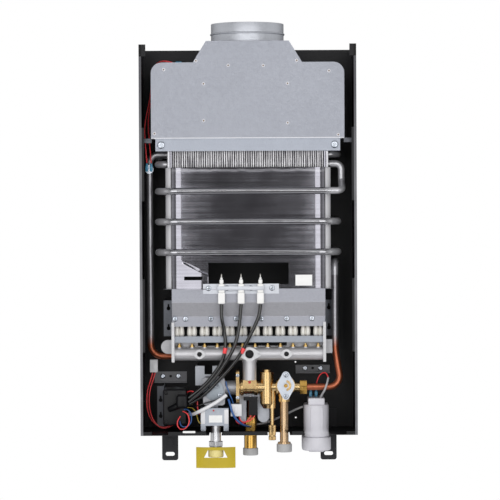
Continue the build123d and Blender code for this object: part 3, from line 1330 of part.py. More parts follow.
def panel_brackets():
    """Keyhole strip beside the control box and two angles on the back wall."""
    x0 = CTRL_X0 - CHANNEL_W
    top = CHANNEL_Z0 + CHANNEL_H
    strip = block(x0, CTRL_X0, CHANNEL_D - CHANNEL_T, CHANNEL_D, CHANNEL_Z0, top)
    for share in CHANNEL_HOLES:
        hole = Pos(x0 + CHANNEL_W / 2, CHANNEL_Z0 + share * CHANNEL_H) * keyhole()
        strip -= forward(hole, CHANNEL_D - CHANNEL_T, CHANNEL_D)
    strip += block(CTRL_X0 - CHANNEL_T, CTRL_X0, SHEET + TAB_T, CHANNEL_D, CHANNEL_Z0, top)
    left = wall_angle(ANGLE_LEFT_X, ANGLE_LEFT_X + ANGLE_LEFT_W, ANGLE_LEFT_Z, ANGLE_LEFT_H)
    right = wall_angle(ANGLE_RIGHT_X, ANGLE_RIGHT_X + ANGLE_RIGHT_W, ANGLE_RIGHT_Z, ANGLE_RIGHT_H)
    return [strip, left, right]


def wall_angle(x0, x1, z0, height):
    """An angle with a row of three holes and a shelf along its foot."""
    angle = block(x0, x1, SHEET, SHEET + ANGLE_T, z0, z0 + height)
    angle += block(x0, x1, SHEET, SHEET + ANGLE_OUT, z0, z0 + ANGLE_T)
    mid = (x0 + x1) / 2
    rows = [(mid + step * ANGLE_HOLE_STEP, z0 + height / 2 + ANGLE_T) for step in (-1, 0, 1)]
    return drill(angle, rows, SHEET, SHEET + ANGLE_T, ANGLE_HOLE_R)


def stadium(grow):
    """Plan of the battery box: two cells one behind the other."""
    return SlotOverall(BAT_L + 2 * grow, BAT_W + 2 * grow, rotation=90)


def battery_housing():
    """Open-bottomed tube for two cells with a crest on top."""
    roof = BAT_TOP - BAT_WALL
    tube = upright(stadium(0), BAT_X, BAT_D, BAT_Z0, BAT_TOP)
    tube -= upright(stadium(-BAT_WALL), BAT_X, BAT_D, BAT_Z0, roof)
    half = BAT_CREST_DEPTH / 2
    return tube + block(BAT_X - BAT_CREST_W / 2, BAT_X + BAT_CREST_W / 2, BAT_D - half, BAT_D + half, BAT_TOP,
                        BAT_CREST_TOP)


def battery_cover():
    """Push-on lid under the battery box with a grip step below."""
    lid = upright(stadium(COVER_OUT), BAT_X, BAT_D, COVER_Z0, BAT_Z0)
    lid -= upright(stadium(-BAT_WALL), BAT_X, BAT_D, COVER_Z0 + BAT_WALL, BAT_Z0)
    half = COVER_STEP_W / 2
    step = block(BAT_X - half, BAT_X + half, BAT_D - half, BAT_D + half, COVER_Z0 - COVER_STEP_H, COVER_Z0)
    return lid + step


def battery_cells():
    """Two large round cells, standing one behind the other."""
    cells = []
    roof = BAT_TOP - BAT_WALL
    for side in (-1, 1):
        d = BAT_D + side * CELL_STEP / 2
        nub = roof - CELL_NUB_H
        cell = rod_z(BAT_X, d, roof - CELL_L, nub, CELL_R)
        cells.append(cell + rod_z(BAT_X, d, nub, roof, CELL_NUB_R))
    return cells


def blue_terminals():
    """Insulated push-on terminals: two on the battery box, two on the thermostat."""
    pieces = []
    half = TERMINAL_DEPTH / 2
    for x in TERMINAL_XS:
        pieces.append(block(x - TERMINAL_W / 2, x + TERMINAL_W / 2, TERMINAL_D - half, TERMINAL_D + half,
                            BAT_CREST_TOP, BAT_CREST_TOP + TERMINAL_H))
    face = stat_face()
    for side in (-1, 1):
        x = HOT_PIPE_X + side * STAT_R / 2
        pieces.append(block(x - TERMINAL_W / 2, x + TERMINAL_W / 2, face, face + TERMINAL_W, STAT_Z - STAT_R / 2,
                            STAT_Z - STAT_R / 2 + TERMINAL_H))
    return pieces


def wire_connectors():
    """White plug housings: in front of the valve, beside the hot pipe and on the hood's shoulder."""
    return [
        block(PLUG_X0, PLUG_X1, PLUG_D0, PLUG_D0 + PLUG_DEPTH, PLUG_Z0, PLUG_Z0 + PLUG_H),
        block(SIDE_PLUG_X0, SIDE_PLUG_X0 + SIDE_PLUG_W, SIDE_PLUG_D0, SIDE_PLUG_D0 + SIDE_PLUG_DEPTH, SIDE_PLUG_Z0,
              SIDE_PLUG_Z0 + SIDE_PLUG_H),
        block(HOOD_PLUG_X0, HOOD_PLUG_X0 + HOOD_PLUG_W, HOOD_PLUG_D0, HOOD_PLUG_D0 + HOOD_PLUG_DEPTH,
              HOOD_SHOULDER, HOOD_SHOULDER + HOOD_PLUG_H),
    ]


def fasteners():
    """Pan-head screws and small rivets on the sheet-metal faces that look forward."""
    front = HOOD_FRONT - SKIRT_INSET
    group = [screw(x, front, z, SKIRT_T) for x, z in skirt_screw_places()]
    group += [screw(x, STRIP_D + PLATE_T, z, PLATE_T) for x, z in strip_screw_places()]
    group += [screw(x, CLAMP_D, z, EL_PLATE_T) for x, z in plate_screw_places()]
    group += [screw(x, CERAMIC_BACK, z, CLAMP_T) for x, z in clamp_screw_places()]
    for x, z in RIVETS:
        head = rod_d(x, HOOD_FRONT, HOOD_FRONT + RIVET_HEAD_H, z, RIVET_HEAD_R)
        group.append(head + rod_d(x, HOOD_FRONT - HOOD_T, HOOD_FRONT, z, RIVET_R))
    return group


def harness_wires():
    """Thin wires and sleeves, each between two pieces that hold it."""
    stat = HOT_PIPE_X
    hood = -HOOD_W / 2
    face = stat_face() + TERMINAL_W / 2
    stat_top = STAT_Z - STAT_R / 2 + TERMINAL_H + WIRE_GAP
    plug_mid = HOOD_PLUG_D0 + HOOD_PLUG_DEPTH / 2
    shoulder = HOOD_SHOULDER + HOOD_PLUG_H / 2
    plug_end = HOOD_PLUG_X0 - WIRE_GAP
    side_mid = SIDE_PLUG_D0 + SIDE_PLUG_DEPTH / 2
    side_x = SIDE_PLUG_X0 + SIDE_PLUG_W / 2
    side_foot = SIDE_PLUG_Z0 - WIRE_GAP
    box_side = CTRL_X1 + WIRE_GAP
    box_foot = CTRL_Z0 - CABLE_GAP
    white_mid = PLUG_D0 + PLUG_DEPTH / 2
    white_top = PLUG_Z0 + PLUG_H + WIRE_GAP
    white_foot = PLUG_Z0 - WIRE_GAP
    sol_side = SOL_X - SOL_W / 2 - WIRE_GAP
    crest = BAT_CREST_TOP + WIRE_GAP
    terminal_top = BAT_CREST_TOP + TERMINAL_H + WIRE_GAP
    port = FLOOR + HOT_PORT_UP
    box_front = CTRL_FRONT + CABLE_GAP
    routes = (
        ("thermostat lead", THIN_R, ((stat - STAT_R / 2, face, stat_top), (stat - 5.5, 99, 508),
                                     (stat - 7.5, 97.5, 534), (stat - 6, 88, 556), (stat - 1, 68, 582),
                                     (stat + 2, 46, 606), (stat + 2, 37, 630), (hood + 1, 45, 644),
                                     (hood + 10, 60, 651.5), (plug_end - 12, 75, 652.5),
                                     (plug_end, plug_mid + 3, shoulder))),
        ("thermostat lead", THIN_R, ((stat + STAT_R / 2, face, stat_top), (stat + 1.5, 98, 508),
                                     (stat - 1, 94, 534), (stat - 2, 80, 556), (stat + 1, 58, 582),
                                     (stat + 2, 37, 606), (stat + 2, 28, 630), (hood + 1, 36, 644),
                                     (hood + 10, 51, 651.5), (plug_end - 12, 66, 652.5),
                                     (plug_end, plug_mid - 3, shoulder))),
        ("side lead", THIN_R, ((side_x - 2, side_mid, side_foot), (side_x - 5.5, side_mid, 128),
                               (side_x - 11, side_mid, 112), (side_x - 12.5, side_mid, 92),
                               (side_x - 10.5, side_mid - 1, 74), (side_x - 3.5, side_mid - 2, 59),
                               (CTRL_X0 - 7, side_mid - 3, 50.5), (CTRL_X0 + 6, side_mid - 3, 50),
                               (CTRL_X0 + 13, side_mid - 3, box_foot))),
        ("side lead", THIN_R, ((side_x + 2, side_mid, side_foot), (side_x - 1.5, side_mid, 128),
                               (side_x - 7, side_mid + 1, 112), (side_x - 8.5, side_mid + 1, 92),
                               (side_x - 6.5, side_mid + 6, 76), (side_x - 0.5, side_mid + 12, 61),
                               (CTRL_X0 - 7, side_mid + 14, 50.5), (CTRL_X0 + 7, side_mid + 15, 50),
                               (CTRL_X0 + 16, side_mid + 15, box_foot))),
        ("red loop", THIN_R, ((box_side, 96, 110), (-96, 99, 113), (-89, 104, 111), (-85, 108, 103), (-84, 110, 93),
                              (-84, 110, 83), (sol_side - 1, 107, 75))),
        ("red loop", THIN_R, ((-108, box_front, 80), (-102, 115, 79), (-97.5, 118, 71), (-97.5, 120, 60),
                              (-104, 121, 52), (-112, 120, 51), (-117.5, 118, 58), (-116, 115, 67),
                              (-112, box_front, 72))),
        ("blue loop", THIN_R, ((-106, box_front, 84), (-99, 115, 83.5), (-94, 117, 76), (-93.5, 117, 64),
                               (-99, 117.5, 56), (-106.5, 117, 54.8), (-112, 115, 57.5), (-113, box_front, 64))),
        ("yellow loop", THIN_R, ((box_side, 84, 84), (-94, 86, 85), (-87, 92, 78), (-84.5, 97, 69), (-83, 99, 62),
                                 (sol_side, 100, 59))),
        ("white sleeve", SLEEVE_R, ((CTRL_X1 + SLEEVE_GAP, 88, 74), (-94, 106, 74), (-86.5, 123, 78), (-77, 130.5, 83),
                                    (-62, 131.5, 91), (-49, 129, 98.5), (-37, 123, 107))),
        ("sensor lead", CABLE_R, ((-33.5, 119.5, 100), (-30.5, 123, 91), (-28, 124, 80), (-22, 123, 68), (-11, 116, 58),
                                  (-1, 100, port + 1), (HOT_X, HOT_PORT_FRONT + WIRE_GAP, port))),
        ("plug lead", THIN_R, ((-26, white_mid, white_top), (-27, 117, 98), (-30, 119.5, 105), (-33, 119.5, 113),
                              (-36.5, 119.5, 121), (-37.5, 119, 129))),
        ("plug lead", THIN_R, ((-22, white_mid, white_foot), (-22, 111.5, 64.5), (-18, 109, 59.5), (-10, 105.5, 59),
                               (-2, 102.5, 63.5), (3, 101, SWITCH_Z0 - CABLE_GAP))),
        ("plug lead", THIN_R, ((-16, white_mid, white_foot), (-15, 112, 65), (-10, 109.5, 61.5), (-2, 106.5, 62.5),
                               (5, 104.5, 66), (9, 103.5, SWITCH_Z0 - CABLE_GAP))),
        ("battery lead", THIN_R, ((TERMINAL_XS[1], TERMINAL_D, terminal_top), (110.5, 80, 123), (114, 85, 134),
                                  (120, 91, 141), (127, 99, 141), (129, 107, 134))),
        ("battery sleeve", CABLE_R, ((129, 107.7, 133), (127, 116, 125), (123, 117, 114), (119, 109, 107),
                                     (117, 101, crest + 1.0))),
        ("battery cable", CABLE_R, ((BAT_X - BAT_W / 2 - CABLE_GAP, BAT_D, 84), (78, 70, 80), (62, 62, 71),
                                    (45, 58, 63), (28, 60, 56), (HOT_X + TEE_W / 2 + CABLE_GAP, HOT_D, port + 2))),
        ("black lead", THIN_R, ((box_side, 104, 88), (-93, 112, 87), (-83, 121.5, 90), (-66, 123, 96),
                                (-52, 122.5, 99), (-45, COVER_FRONT + 1.5, 103))),
    )
    return [wire(name, route, r) for name, r, route in routes]


NODES = {
    "chassis_tray": chassis_tray,
    "bottom_plate": bottom_plate,
    "wall_brackets": wall_brackets,
    "flue_hood_shell": flue_hood_shell,
    "flue_hood_front": flue_hood_front,
    "flue_collar": flue_collar,
    "draft_baffle": draft_baffle,
    "hood_skirt": hood_skirt,
    "fasteners": fasteners,
    "heat_exchanger_shell": heat_exchanger_shell,
    "heat_exchanger_fins": heat_exchanger_fins,
    "fin_tubes": fin_tubes,
    "heating_coil": heating_coil,
    "cold_riser": cold_riser,
    "hot_downpipe": hot_downpipe,
    "limit_thermostat": limit_thermostat,
    "burner_box": burner_box,
    "burner_front_plate": burner_front_plate,
    "burner_bars": burner_bars,
    "burner_lower_rail": burner_lower_rail,
    "burner_strap": burner_strap,
    "burner_brackets": burner_brackets,
    "gas_manifold": gas_manifold,
    "gas_nozzles": gas_nozzles,
    "gas_feed_tube": gas_feed_tube,
    "electrode_plate": electrode_plate,
    "electrode_ceramics": electrode_ceramics,
    "electrode_pins": electrode_pins,
    "ignition_leads": ignition_leads,
    "gas_valve_body": gas_valve_body,
    "gas_valve_cover": gas_valve_cover,
    "gas_spindle": gas_spindle,
    "solenoid_case": solenoid_case,
    "solenoid_plunger": solenoid_plunger,
    "gas_inlet_pipe": gas_inlet_pipe,
    "gas_cap": gas_cap,
    "gas_tag": gas_tag,
    "valve_mount": valve_mount,
    "valve_flange": valve_flange,
    "water_valve_body": water_valve_body,
    "valve_push_rod": valve_push_rod,
    "flow_plate": flow_plate,
    "flow_spindle": flow_spindle,
    "union_nut": union_nut,
    "cold_inlet_pipe": cold_inlet_pipe,
    "cold_cap": cold_cap,
    "hot_outlet": hot_outlet,
    "hot_cap": hot_cap,
    "drain_valve": drain_valve,
    "switch_hanger": switch_hanger,
    "microswitch": microswitch,
    "microswitch_plunger": microswitch_plunger,
    "control_box": control_box,
    "panel_brackets": panel_brackets,
    "battery_housing": battery_housing,
    "battery_cover": battery_cover,
    "battery_cells": battery_cells,
    "blue_terminals": blue_terminals,
    "wire_connectors": wire_connectors,
    "harness_wires": harness_wires,
}

os.makedirs("parts", exist_ok=True)
for node, make in NODES.items():
    made = make()
    pieces = made if isinstance(made, list) else [made]
    solids = [solid for piece in pieces for solid in piece.solids()]
    export_step(solids[0] if len(solids) == 1 else Compound(children=solids), f"parts/{node}.step")
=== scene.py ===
import math
import bmesh
import bpy
from mathutils import Matrix, Vector


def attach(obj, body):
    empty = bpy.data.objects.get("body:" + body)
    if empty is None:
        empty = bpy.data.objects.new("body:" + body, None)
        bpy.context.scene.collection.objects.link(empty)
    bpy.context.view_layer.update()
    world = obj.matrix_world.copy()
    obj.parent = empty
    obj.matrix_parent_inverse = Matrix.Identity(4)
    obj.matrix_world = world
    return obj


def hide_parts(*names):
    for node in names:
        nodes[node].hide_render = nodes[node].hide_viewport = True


# Wall-hung instantaneous gas water heater with its front cover off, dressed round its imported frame.
# Sizes are millimetres: X runs right, d forward from the wall, Z up, and spot() gives the scene's metres.
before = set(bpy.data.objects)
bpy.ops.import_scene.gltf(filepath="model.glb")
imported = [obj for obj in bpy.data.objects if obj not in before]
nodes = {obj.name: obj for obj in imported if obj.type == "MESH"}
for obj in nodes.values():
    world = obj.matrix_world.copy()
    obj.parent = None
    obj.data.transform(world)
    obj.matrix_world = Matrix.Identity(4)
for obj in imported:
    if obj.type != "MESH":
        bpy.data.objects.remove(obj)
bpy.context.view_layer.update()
scene = bpy.context.scene


# Studio: a white surround, a dim room that polished metal mirrors, two tall soft boxes beside the camera and
# a strip above it, a top light, and a plain pale floor well below the hanging heater.
MM = 0.001
CAMERA_SPOT = (2.7, 4012, 399)
CAMERA_PITCH = -0.835
CAMERA_ROLL = -0.29
CAMERA_LENS = 172.8
FLOOR_Z = -500
FLOOR_HALF = 650
ROOM_SHADES = ((0, 0.1), (0.5, 0.1), (0.75, 0.34), (1, 0.8))
FILL_LIGHT = (0.54, 0.54, 0.55, 1)
WHITE = (1, 1, 1, 1)
LIGHT_AIM = (0, 100, 340)
SOFT_BOXES = (
    ("soft_left", (-910, 2700, 420), (1480, 2600), 20),
    ("soft_right", (910, 2700, 420), (1480, 2600), 20),
    ("soft_top", (0, 1700, 2600), (2200, 1300), 6),
    ("strip_above", (0, 4100, 1090), (2000, 350), 5),
)


class Sock:
    """A shader socket. Arithmetic on it adds Math nodes, and add() makes any other node."""

    def __init__(self, tree, socket=None):
        self.tree = tree
        self.socket = socket

    def add(self, kind, inputs=None, out=0, stops=(), **settings):
        node = self.tree.nodes.new("ShaderNode" + kind)
        for name, value in settings.items():
            setattr(node, name, value)
        for i, (where, shade) in enumerate(stops):
            ramp = node.color_ramp.elements
            if i == 0:
                ramp.remove(ramp[1])
            stop = ramp.new(where) if i else ramp[0]
            stop.position = where
            stop.color = (shade, shade, shade, 1)
        for name, value in (inputs or {}).items():
            if isinstance(value, Sock):
                self.tree.links.new(value.socket, node.inputs[name])
            else:
                node.inputs[name].default_value = value
        return Sock(self.tree, node.outputs[out])

    def math(self, operation, first, second):
        return self.add("Math", {0: first, 1: second}, operation=operation)

    def __add__(self, other):
        return self.math("ADD", self, other)

    def __radd__(self, other):
        return self.math("ADD", other, self)

    def __mul__(self, other):
        return self.math("MULTIPLY", self, other)

    def __rmul__(self, other):
        return self.math("MULTIPLY", other, self)

    def __sub__(self, other):
        return self.math("SUBTRACT", self, other)

    def __rsub__(self, other):
        return self.math("SUBTRACT", other, self)

    def axis(self, name):
        return self.add("SeparateXYZ", {0: self}, out=name)

    def size(self):
        return self.math("ABSOLUTE", self, 0)

    def ramp(self, low, high):
        return self.add("MapRange", {"Value": self, "From Min": low, "From Max": high})

    def past(self, start, end):
        """0 before a stretch given in millimetres and 1 past it."""
        return self.ramp(start * MM, end * MM)

    def within(self, start, full, fading, end):
        """1 between two soft edges given in millimetres and 0 outside them."""
        return self.past(start, full) * (1 - self.past(fading, end))

    def mix(self, first, second):
        return self.add("Mix", {0: self, 6: first, 7: second}, out=2, data_type="RGBA")

    def noise(self, scale, detail=3):
        return self.add("TexNoise", {"Vector": self, "Scale": scale, "Detail": detail})

    def stretch(self, x, y, z):
        return self.add("Mapping", {"Vector": self, "Scale": (x, y, z)})

    def bump(self, distance):
        return self.add("Bump", {"Height": self, "Distance": distance, "Strength": 1})


def spot(x, d, z):
    """A point given as X, depth forward of the wall and height, in the scene's metres."""
    return Vector((x, -d, z)) * MM


def paint(red, green, blue):
    """A colour given as it shows on a screen, 0 to 255, in the shader's own scale."""
    return tuple(((v / 255 + 0.055) / 1.055) ** 2.4 for v in (red, green, blue)) + (1,)


def surface(name, **plain):
    """A new material: itself, its Principled shader and its Object coordinate."""
    material = bpy.data.materials.new(name)
    material.use_nodes = True
    shader = material.node_tree.nodes["Principled BSDF"]
    for socket, value in plain.items():
        shader.inputs[socket.replace("_", " ")].default_value = value
    return material, shader, Sock(material.node_tree).add("TexCoord", out="Object")


def link(shader, **sources):
    """Lead values that change over the surface into the shader's sockets."""
    for socket, source in sources.items():
        source.tree.links.new(source.socket, shader.inputs[socket.replace("_", " ")])


def mottled(name, dark, light, scale, grain=None, **plain):
    """A finish in clouds of two close shades, with a fine grain if asked."""
    material, shader, place = surface(name, **plain)
    link(shader, Base_Color=place.noise(scale).mix(dark, light))
    if grain:
        link(shader, Normal=place.noise(grain).bump(0.00003))
    return material


scene.view_settings.view_transform = "Standard"
world = bpy.data.worlds.new("studio")
scene.world = world
world.use_nodes = True
sky = Sock(world.node_tree)
sideways = sky.add("TexCoord", out="Generated").axis("X")
room = sky.add("ValToRGB", {0: sideways.size()}, stops=ROOM_SHADES)
sees_white = sky.add("LightPath", out="Is Camera Ray")
mirrors = sky.add("LightPath", out="Is Glossy Ray") + sky.add("LightPath", out="Is Transmission Ray")
fill = mirrors.ramp(0, 1).mix(FILL_LIGHT, room)
backing = sees_white.mix(fill, WHITE)
world.node_tree.links.new(backing.socket, world.node_tree.nodes["Background"].inputs["Color"])

camera = bpy.data.objects.new("camera", bpy.data.cameras.new("camera"))
scene.collection.objects.link(camera)
camera.data.lens = CAMERA_LENS
pitch = Matrix.Rotation(math.radians(90 + CAMERA_PITCH), 4, "X")
roll = Matrix.Rotation(math.radians(CAMERA_ROLL), 4, "Z")
camera.matrix_world = Matrix.Translation(spot(*CAMERA_SPOT)) @ (pitch @ roll)
scene.camera = camera

for name, where, (wide, tall), watts in SOFT_BOXES:
    lamp = bpy.data.lights.new(name, "AREA")
    lamp.shape = "RECTANGLE"
    lamp.size = wide * MM
    lamp.size_y = tall * MM
    lamp.energy = watts
    box = bpy.data.objects.new(name, lamp)
    scene.collection.objects.link(box)
    aim = spot(*LIGHT_AIM) - spot(*where)
    box.matrix_world = Matrix.Translation(spot(*where)) @ aim.to_track_quat("-Z", "Y").to_matrix().to_4x4()

pale_floor = mottled("pale_floor", paint(236, 236, 238), paint(242, 242, 243), scale=3, Roughness=0.9)
bm = bmesh.new()
bmesh.ops.create_grid(bm, x_segments=1, y_segments=1, size=FLOOR_HALF * MM,
                      matrix=Matrix.Translation(spot(0, 0, FLOOR_Z)))
mesh = bpy.data.meshes.new("floor")
bm.to_mesh(mesh)
bm.free()
mesh.materials.append(pale_floor)
floor = bpy.data.objects.new("floor", mesh)
scene.collection.objects.link(floor)


# Case: a folded tray of black powder-coated sheet with narrow returns along its front edges, a bottom plate
# with a broken lip, and two slotted straps that take the wall screws. The returns carry a painted reflection,
# a streaky lighter grey dimmed by painted shade higher up and painted near black above the posts' foot.
RETURN_X = 170.6
RETURN_D = 149.2
RETURN_DIM = (460, 600)
POST_FOOT = 655
ANGLE_FOOT = 119.5


def dress(material, *names):
    """Give nodes of the frame a finish."""
    for name in names:
        for slot in nodes[name].material_slots:
            slot.material = material


def powder_coat(name, shade, sheen_returns=False, above=None):
    """Satin powder coat: orange peel and faint dust, painted sheen on the returns, or another shade above a
    height.
    """
    material, shader, place = surface(name, Specular_IOR_Level=0.25)
    height = place.axis("Z")
    dust = place.noise(14, 5)
    peel = place.noise(1400, 2)
    coat = dust.mix(shade, tuple(v * 1.9 for v in shade[:3]) + (1,))
    if above:
        foot, other = above
        coat = height.past(foot - 0.5, foot).mix(coat, other)
    # Painted reflection on the front returns: a streaky lighter grey, dimmed by painted shade between the
    # RETURN_DIM heights and painted near black above POST_FOOT.
    if sheen_returns:
        forward = (place.axis("Y") * -1).past(RETURN_D, RETURN_D + 0.3)
        edge = forward * place.axis("X").size().past(RETURN_X, RETURN_X + 0.2)
        high = height.past(POST_FOOT - 0.5, POST_FOOT)
        light = place.stretch(1, 1, 4).noise(9).mix(paint(94, 94, 97), paint(134, 134, 138))
        light = height.past(*RETURN_DIM).mix(light, paint(84, 84, 88))
        coat = (edge * (1 - high)).mix(coat, light)
        coat = (edge * high).mix(coat, paint(5, 5, 6))
    link(shader, Base_Color=coat, Roughness=0.34 + 0.2 * dust, Normal=peel.bump(0.00004))
    return material


black_coat = powder_coat("black_coat", paint(24, 24, 26), sheen_returns=True)
strap_coat = powder_coat("strap_coat", paint(36, 36, 39))
angle_coat = powder_coat("angle_coat", paint(84, 86, 92), above=(ANGLE_FOOT, paint(150, 150, 154)))
dress(black_coat, "chassis_tray", "bottom_plate")
dress(strap_coat, "wall_brackets")
dress(angle_coat, "panel_brackets")


# Flue hood: folded zinc-coated sheet with a front plate that is welded on in spots, a roof-shaped baffle
# inside and a skirt frame below. The crystal grains of the zinc show as a faint sparkle.
EAR_X = 150


def zinc_sheet(name, dark, light, metal=0.75, ends=None, lit_band=None):
    """Zinc-coated sheet: crystal grains, clouds and rolling marks, with painted shade on its far ends and
    painted light on a slope, where asked.
    """
    material, shader, place = surface(name, Metallic=metal)
    grains = place.add("TexVoronoi", {"Vector": place, "Scale": 420}, out="Color").axis("X")
    clouds = place.noise(11, 4)
    rolled = place.stretch(6, 60, 900).noise(1)
    tone = grains * 0.35 + clouds * 0.45 + rolled * 0.2
    colour = tone.mix(dark, light)
    if ends:
        # Painted shade: the sheet goes dark grey past a set distance out to either side.
        colour = place.axis("X").size().past(ends, ends + 1).mix(colour, paint(96, 98, 104))
    # Painted light: a band of heights is made lighter to stand for the light a leaning face catches.
    if lit_band:
        low, high = lit_band
        slope_light = place.axis("Z").within(low - 0.5, low, high, high + 0.5)
        colour = slope_light.mix(colour, tone.mix(paint(186, 186, 192), paint(214, 214, 219)))
    link(shader, Base_Color=colour, Roughness=0.4 + 0.16 * grains, Normal=grains.bump(0.00003))
    return material


hood_zinc = zinc_sheet("hood_zinc", paint(152, 155, 164), paint(178, 181, 190))
# The skirt's ears, out past EAR_X, get painted shade.
skirt_zinc = zinc_sheet("skirt_zinc", paint(158, 163, 174), paint(186, 191, 201), ends=EAR_X)
inner_zinc = zinc_sheet("inner_zinc", paint(140, 142, 148), paint(172, 174, 180))
dress(hood_zinc, "flue_hood_shell", "flue_hood_front")
dress(skirt_zinc, "hood_skirt")
dress(inner_zinc, "draft_baffle")


# Flue collar: a spun spigot of the same sheet with a stop bead, a rolled rim and a foot flange that is
# pressed on the hood's neck.
COLLAR_D = 75
COLLAR_FOOT = 680
COLLAR_TOP = 711
COLLAR_R = 59.5
COLLAR_T = 0.8
COLLAR_FILLET = 0.6
COLLAR_FLANGE_R = 62.5
BEAD_Z = 694
BEAD_R = 1.6
MERGE = 0.001
UP = Matrix.Identity(4)
FORWARD = Matrix.Rotation(math.radians(90), 4, "X")
SIDEWAYS = Matrix.Rotation(math.radians(90), 4, "Y")


def join(bm, part, matrix):
    """Move a bmesh to its place and add it to another."""
    bmesh.ops.transform(part, matrix=matrix, verts=part.verts)
    scratch = bpy.data.meshes.new("scratch")
    part.to_mesh(scratch)
    part.free()
    bm.from_mesh(scratch)
    bpy.data.meshes.remove(scratch)


def spin_profile(part, profile, steps, closed=False):
    """Spin a profile of radius and height, in millimetres, about a bmesh's own upright line."""
    verts = [part.verts.new((r * MM, 0, h * MM)) for r, h in profile]
    ends = verts[1:] + verts[:1] if closed else verts[1:]
    edges = [part.edges.new(pair) for pair in zip(verts, ends)]
    bmesh.ops.spin(part, geom=verts + edges, cent=(0, 0, 0), axis=(0, 0, 1), angle=math.tau, steps=steps,
                   use_merge=True)


def turned(bm, profile, where, direction=UP, steps=48, closed=False):
    """Turn a profile about a line through a spot and add it to a bmesh."""
    part = bmesh.new()
    spin_profile(part, profile, steps, closed)
    bmesh.ops.remove_doubles(part, verts=part.verts, dist=MERGE * MM)
    bmesh.ops.recalc_face_normals(part, faces=part.faces)
    join(bm, part, Matrix.Translation(where) @ direction)


def arc(r, h, radius, first, last, step):
    """Points of a profile round an arc, from one angle to another in degrees."""
    turns = [math.radians(angle) for angle in range(first, last + 1, step)]
    return [(r + radius * math.cos(turn), h + radius * math.sin(turn)) for turn in turns]


def piece(name, bm, material, body, slot, *replaced, crease=35):
    """Finish a bmesh as a piece of the heater that rides on a body."""
    mesh = bpy.data.meshes.new(name)
    bm.to_mesh(mesh)
    bm.free()
    mesh.materials.append(material)
    mesh.shade_smooth()
    mesh.set_sharp_from_angle(angle=math.radians(crease))
    made = bpy.data.objects.new(name, mesh)
    scene.collection.objects.link(made)
    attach(made, body)
    if replaced:
        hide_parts(*replaced)


flange_top = COLLAR_FOOT + COLLAR_T
flange = [(COLLAR_R - COLLAR_T, COLLAR_FOOT), (COLLAR_FLANGE_R, COLLAR_FOOT), (COLLAR_FLANGE_R, flange_top),
          (COLLAR_R + COLLAR_FILLET, flange_top), (COLLAR_R, flange_top + COLLAR_T)]
bead = arc(COLLAR_R, BEAD_Z, BEAD_R, -90, 90, 30)
rim = arc(COLLAR_R - COLLAR_T / 2, COLLAR_TOP - COLLAR_T / 2, COLLAR_T / 2, 0, 180, 45)
bm = bmesh.new()
turned(bm, flange + bead + rim, spot(0, COLLAR_D, 0), steps=96, closed=True)
collar_zinc = zinc_sheet("collar_zinc", paint(196, 199, 207), paint(222, 225, 231), metal=0.85)
piece("flue_spigot", bm, collar_zinc, "heater", "galvanised", "flue_collar")


# Screws and spot welds: zinc-plated pan heads with a cross recess hold the burner plate, the electrode plate,
# the angles on the back wall and the skirt. The hood's front plate has small weld dimples, their pale rings
# lightened further by a painted highlight, and a thin strip of painted highlight along its bottom edge.
HEAD_R = 4.4
HEAD_H = 2.4
CROSS_W = 0.65
CROSS_L = 2.4
CROSS_DEEP = 1.3
SCREWS = [(x, 124.8, 231.1, 1) for x in (-119.5, -102.5, -61.5, -20.5, 20.5, 61.5, 102.5)]
SCREWS += [(x, 137.8, 280.9, 1) for x in (-64.5, 38)] + [(x, 138.6, 281.3, 1) for x in (-35, 4)]
SCREWS += [(x, 2.2, z, 1) for x, z in ((-144, 130.2), (-118, 130.2), (93.5, 142.7), (119.5, 142.7))]
SCREWS += [(x, 138, 512.5, 1.4) for x in (-140, 140)]
WELD_R = 2.8
WELD_DOT_R = 1.4
WELD_RING = ((WELD_R, 0), (WELD_R * 0.8, 0.4), (WELD_R * 0.5, 0.5), (WELD_DOT_R * 0.8, 0.3))
WELD_DOT = ((WELD_DOT_R, 0.1), (WELD_DOT_R * 0.8, 0.45), (0, 0.5))
WELDS = (
    (-135, 634), (-31, 640.5), (25.5, 640), (131.5, 631), (-71, 611), (64.5, 611),
    (-71, 551.5), (64.5, 547.5), (-83, 648), (79.5, 648), (-150.5, 531), (146, 528),
)
HOOD_FRONT = 139
HEM_HIGHLIGHT = (-155.5, 155.5, HOOD_FRONT, HOOD_FRONT + 0.2, 523, 524.2)


def plated(name, dark, light, gloss):
    """Bright plated metal with faint smears."""
    material, shader, place = surface(name, Metallic=1.0)
    smear = place.noise(90, 4)
    link(shader, Base_Color=smear.mix(dark, light), Roughness=gloss + 0.15 * smear,
         Normal=place.noise(700).bump(0.00002))
    return material


def corners(made):
    """The vertices among what an operator made."""
    return [item for item in made if isinstance(item, bmesh.types.BMVert)]


def cut_faces(bm, faces, where, normal):
    """Cut some faces along a plane."""
    edges = {edge for face in faces for edge in face.edges}
    verts = {vert for face in faces for vert in face.verts}
    bmesh.ops.bisect_plane(bm, geom=faces + list(edges) + list(verts), plane_co=where, plane_no=normal)


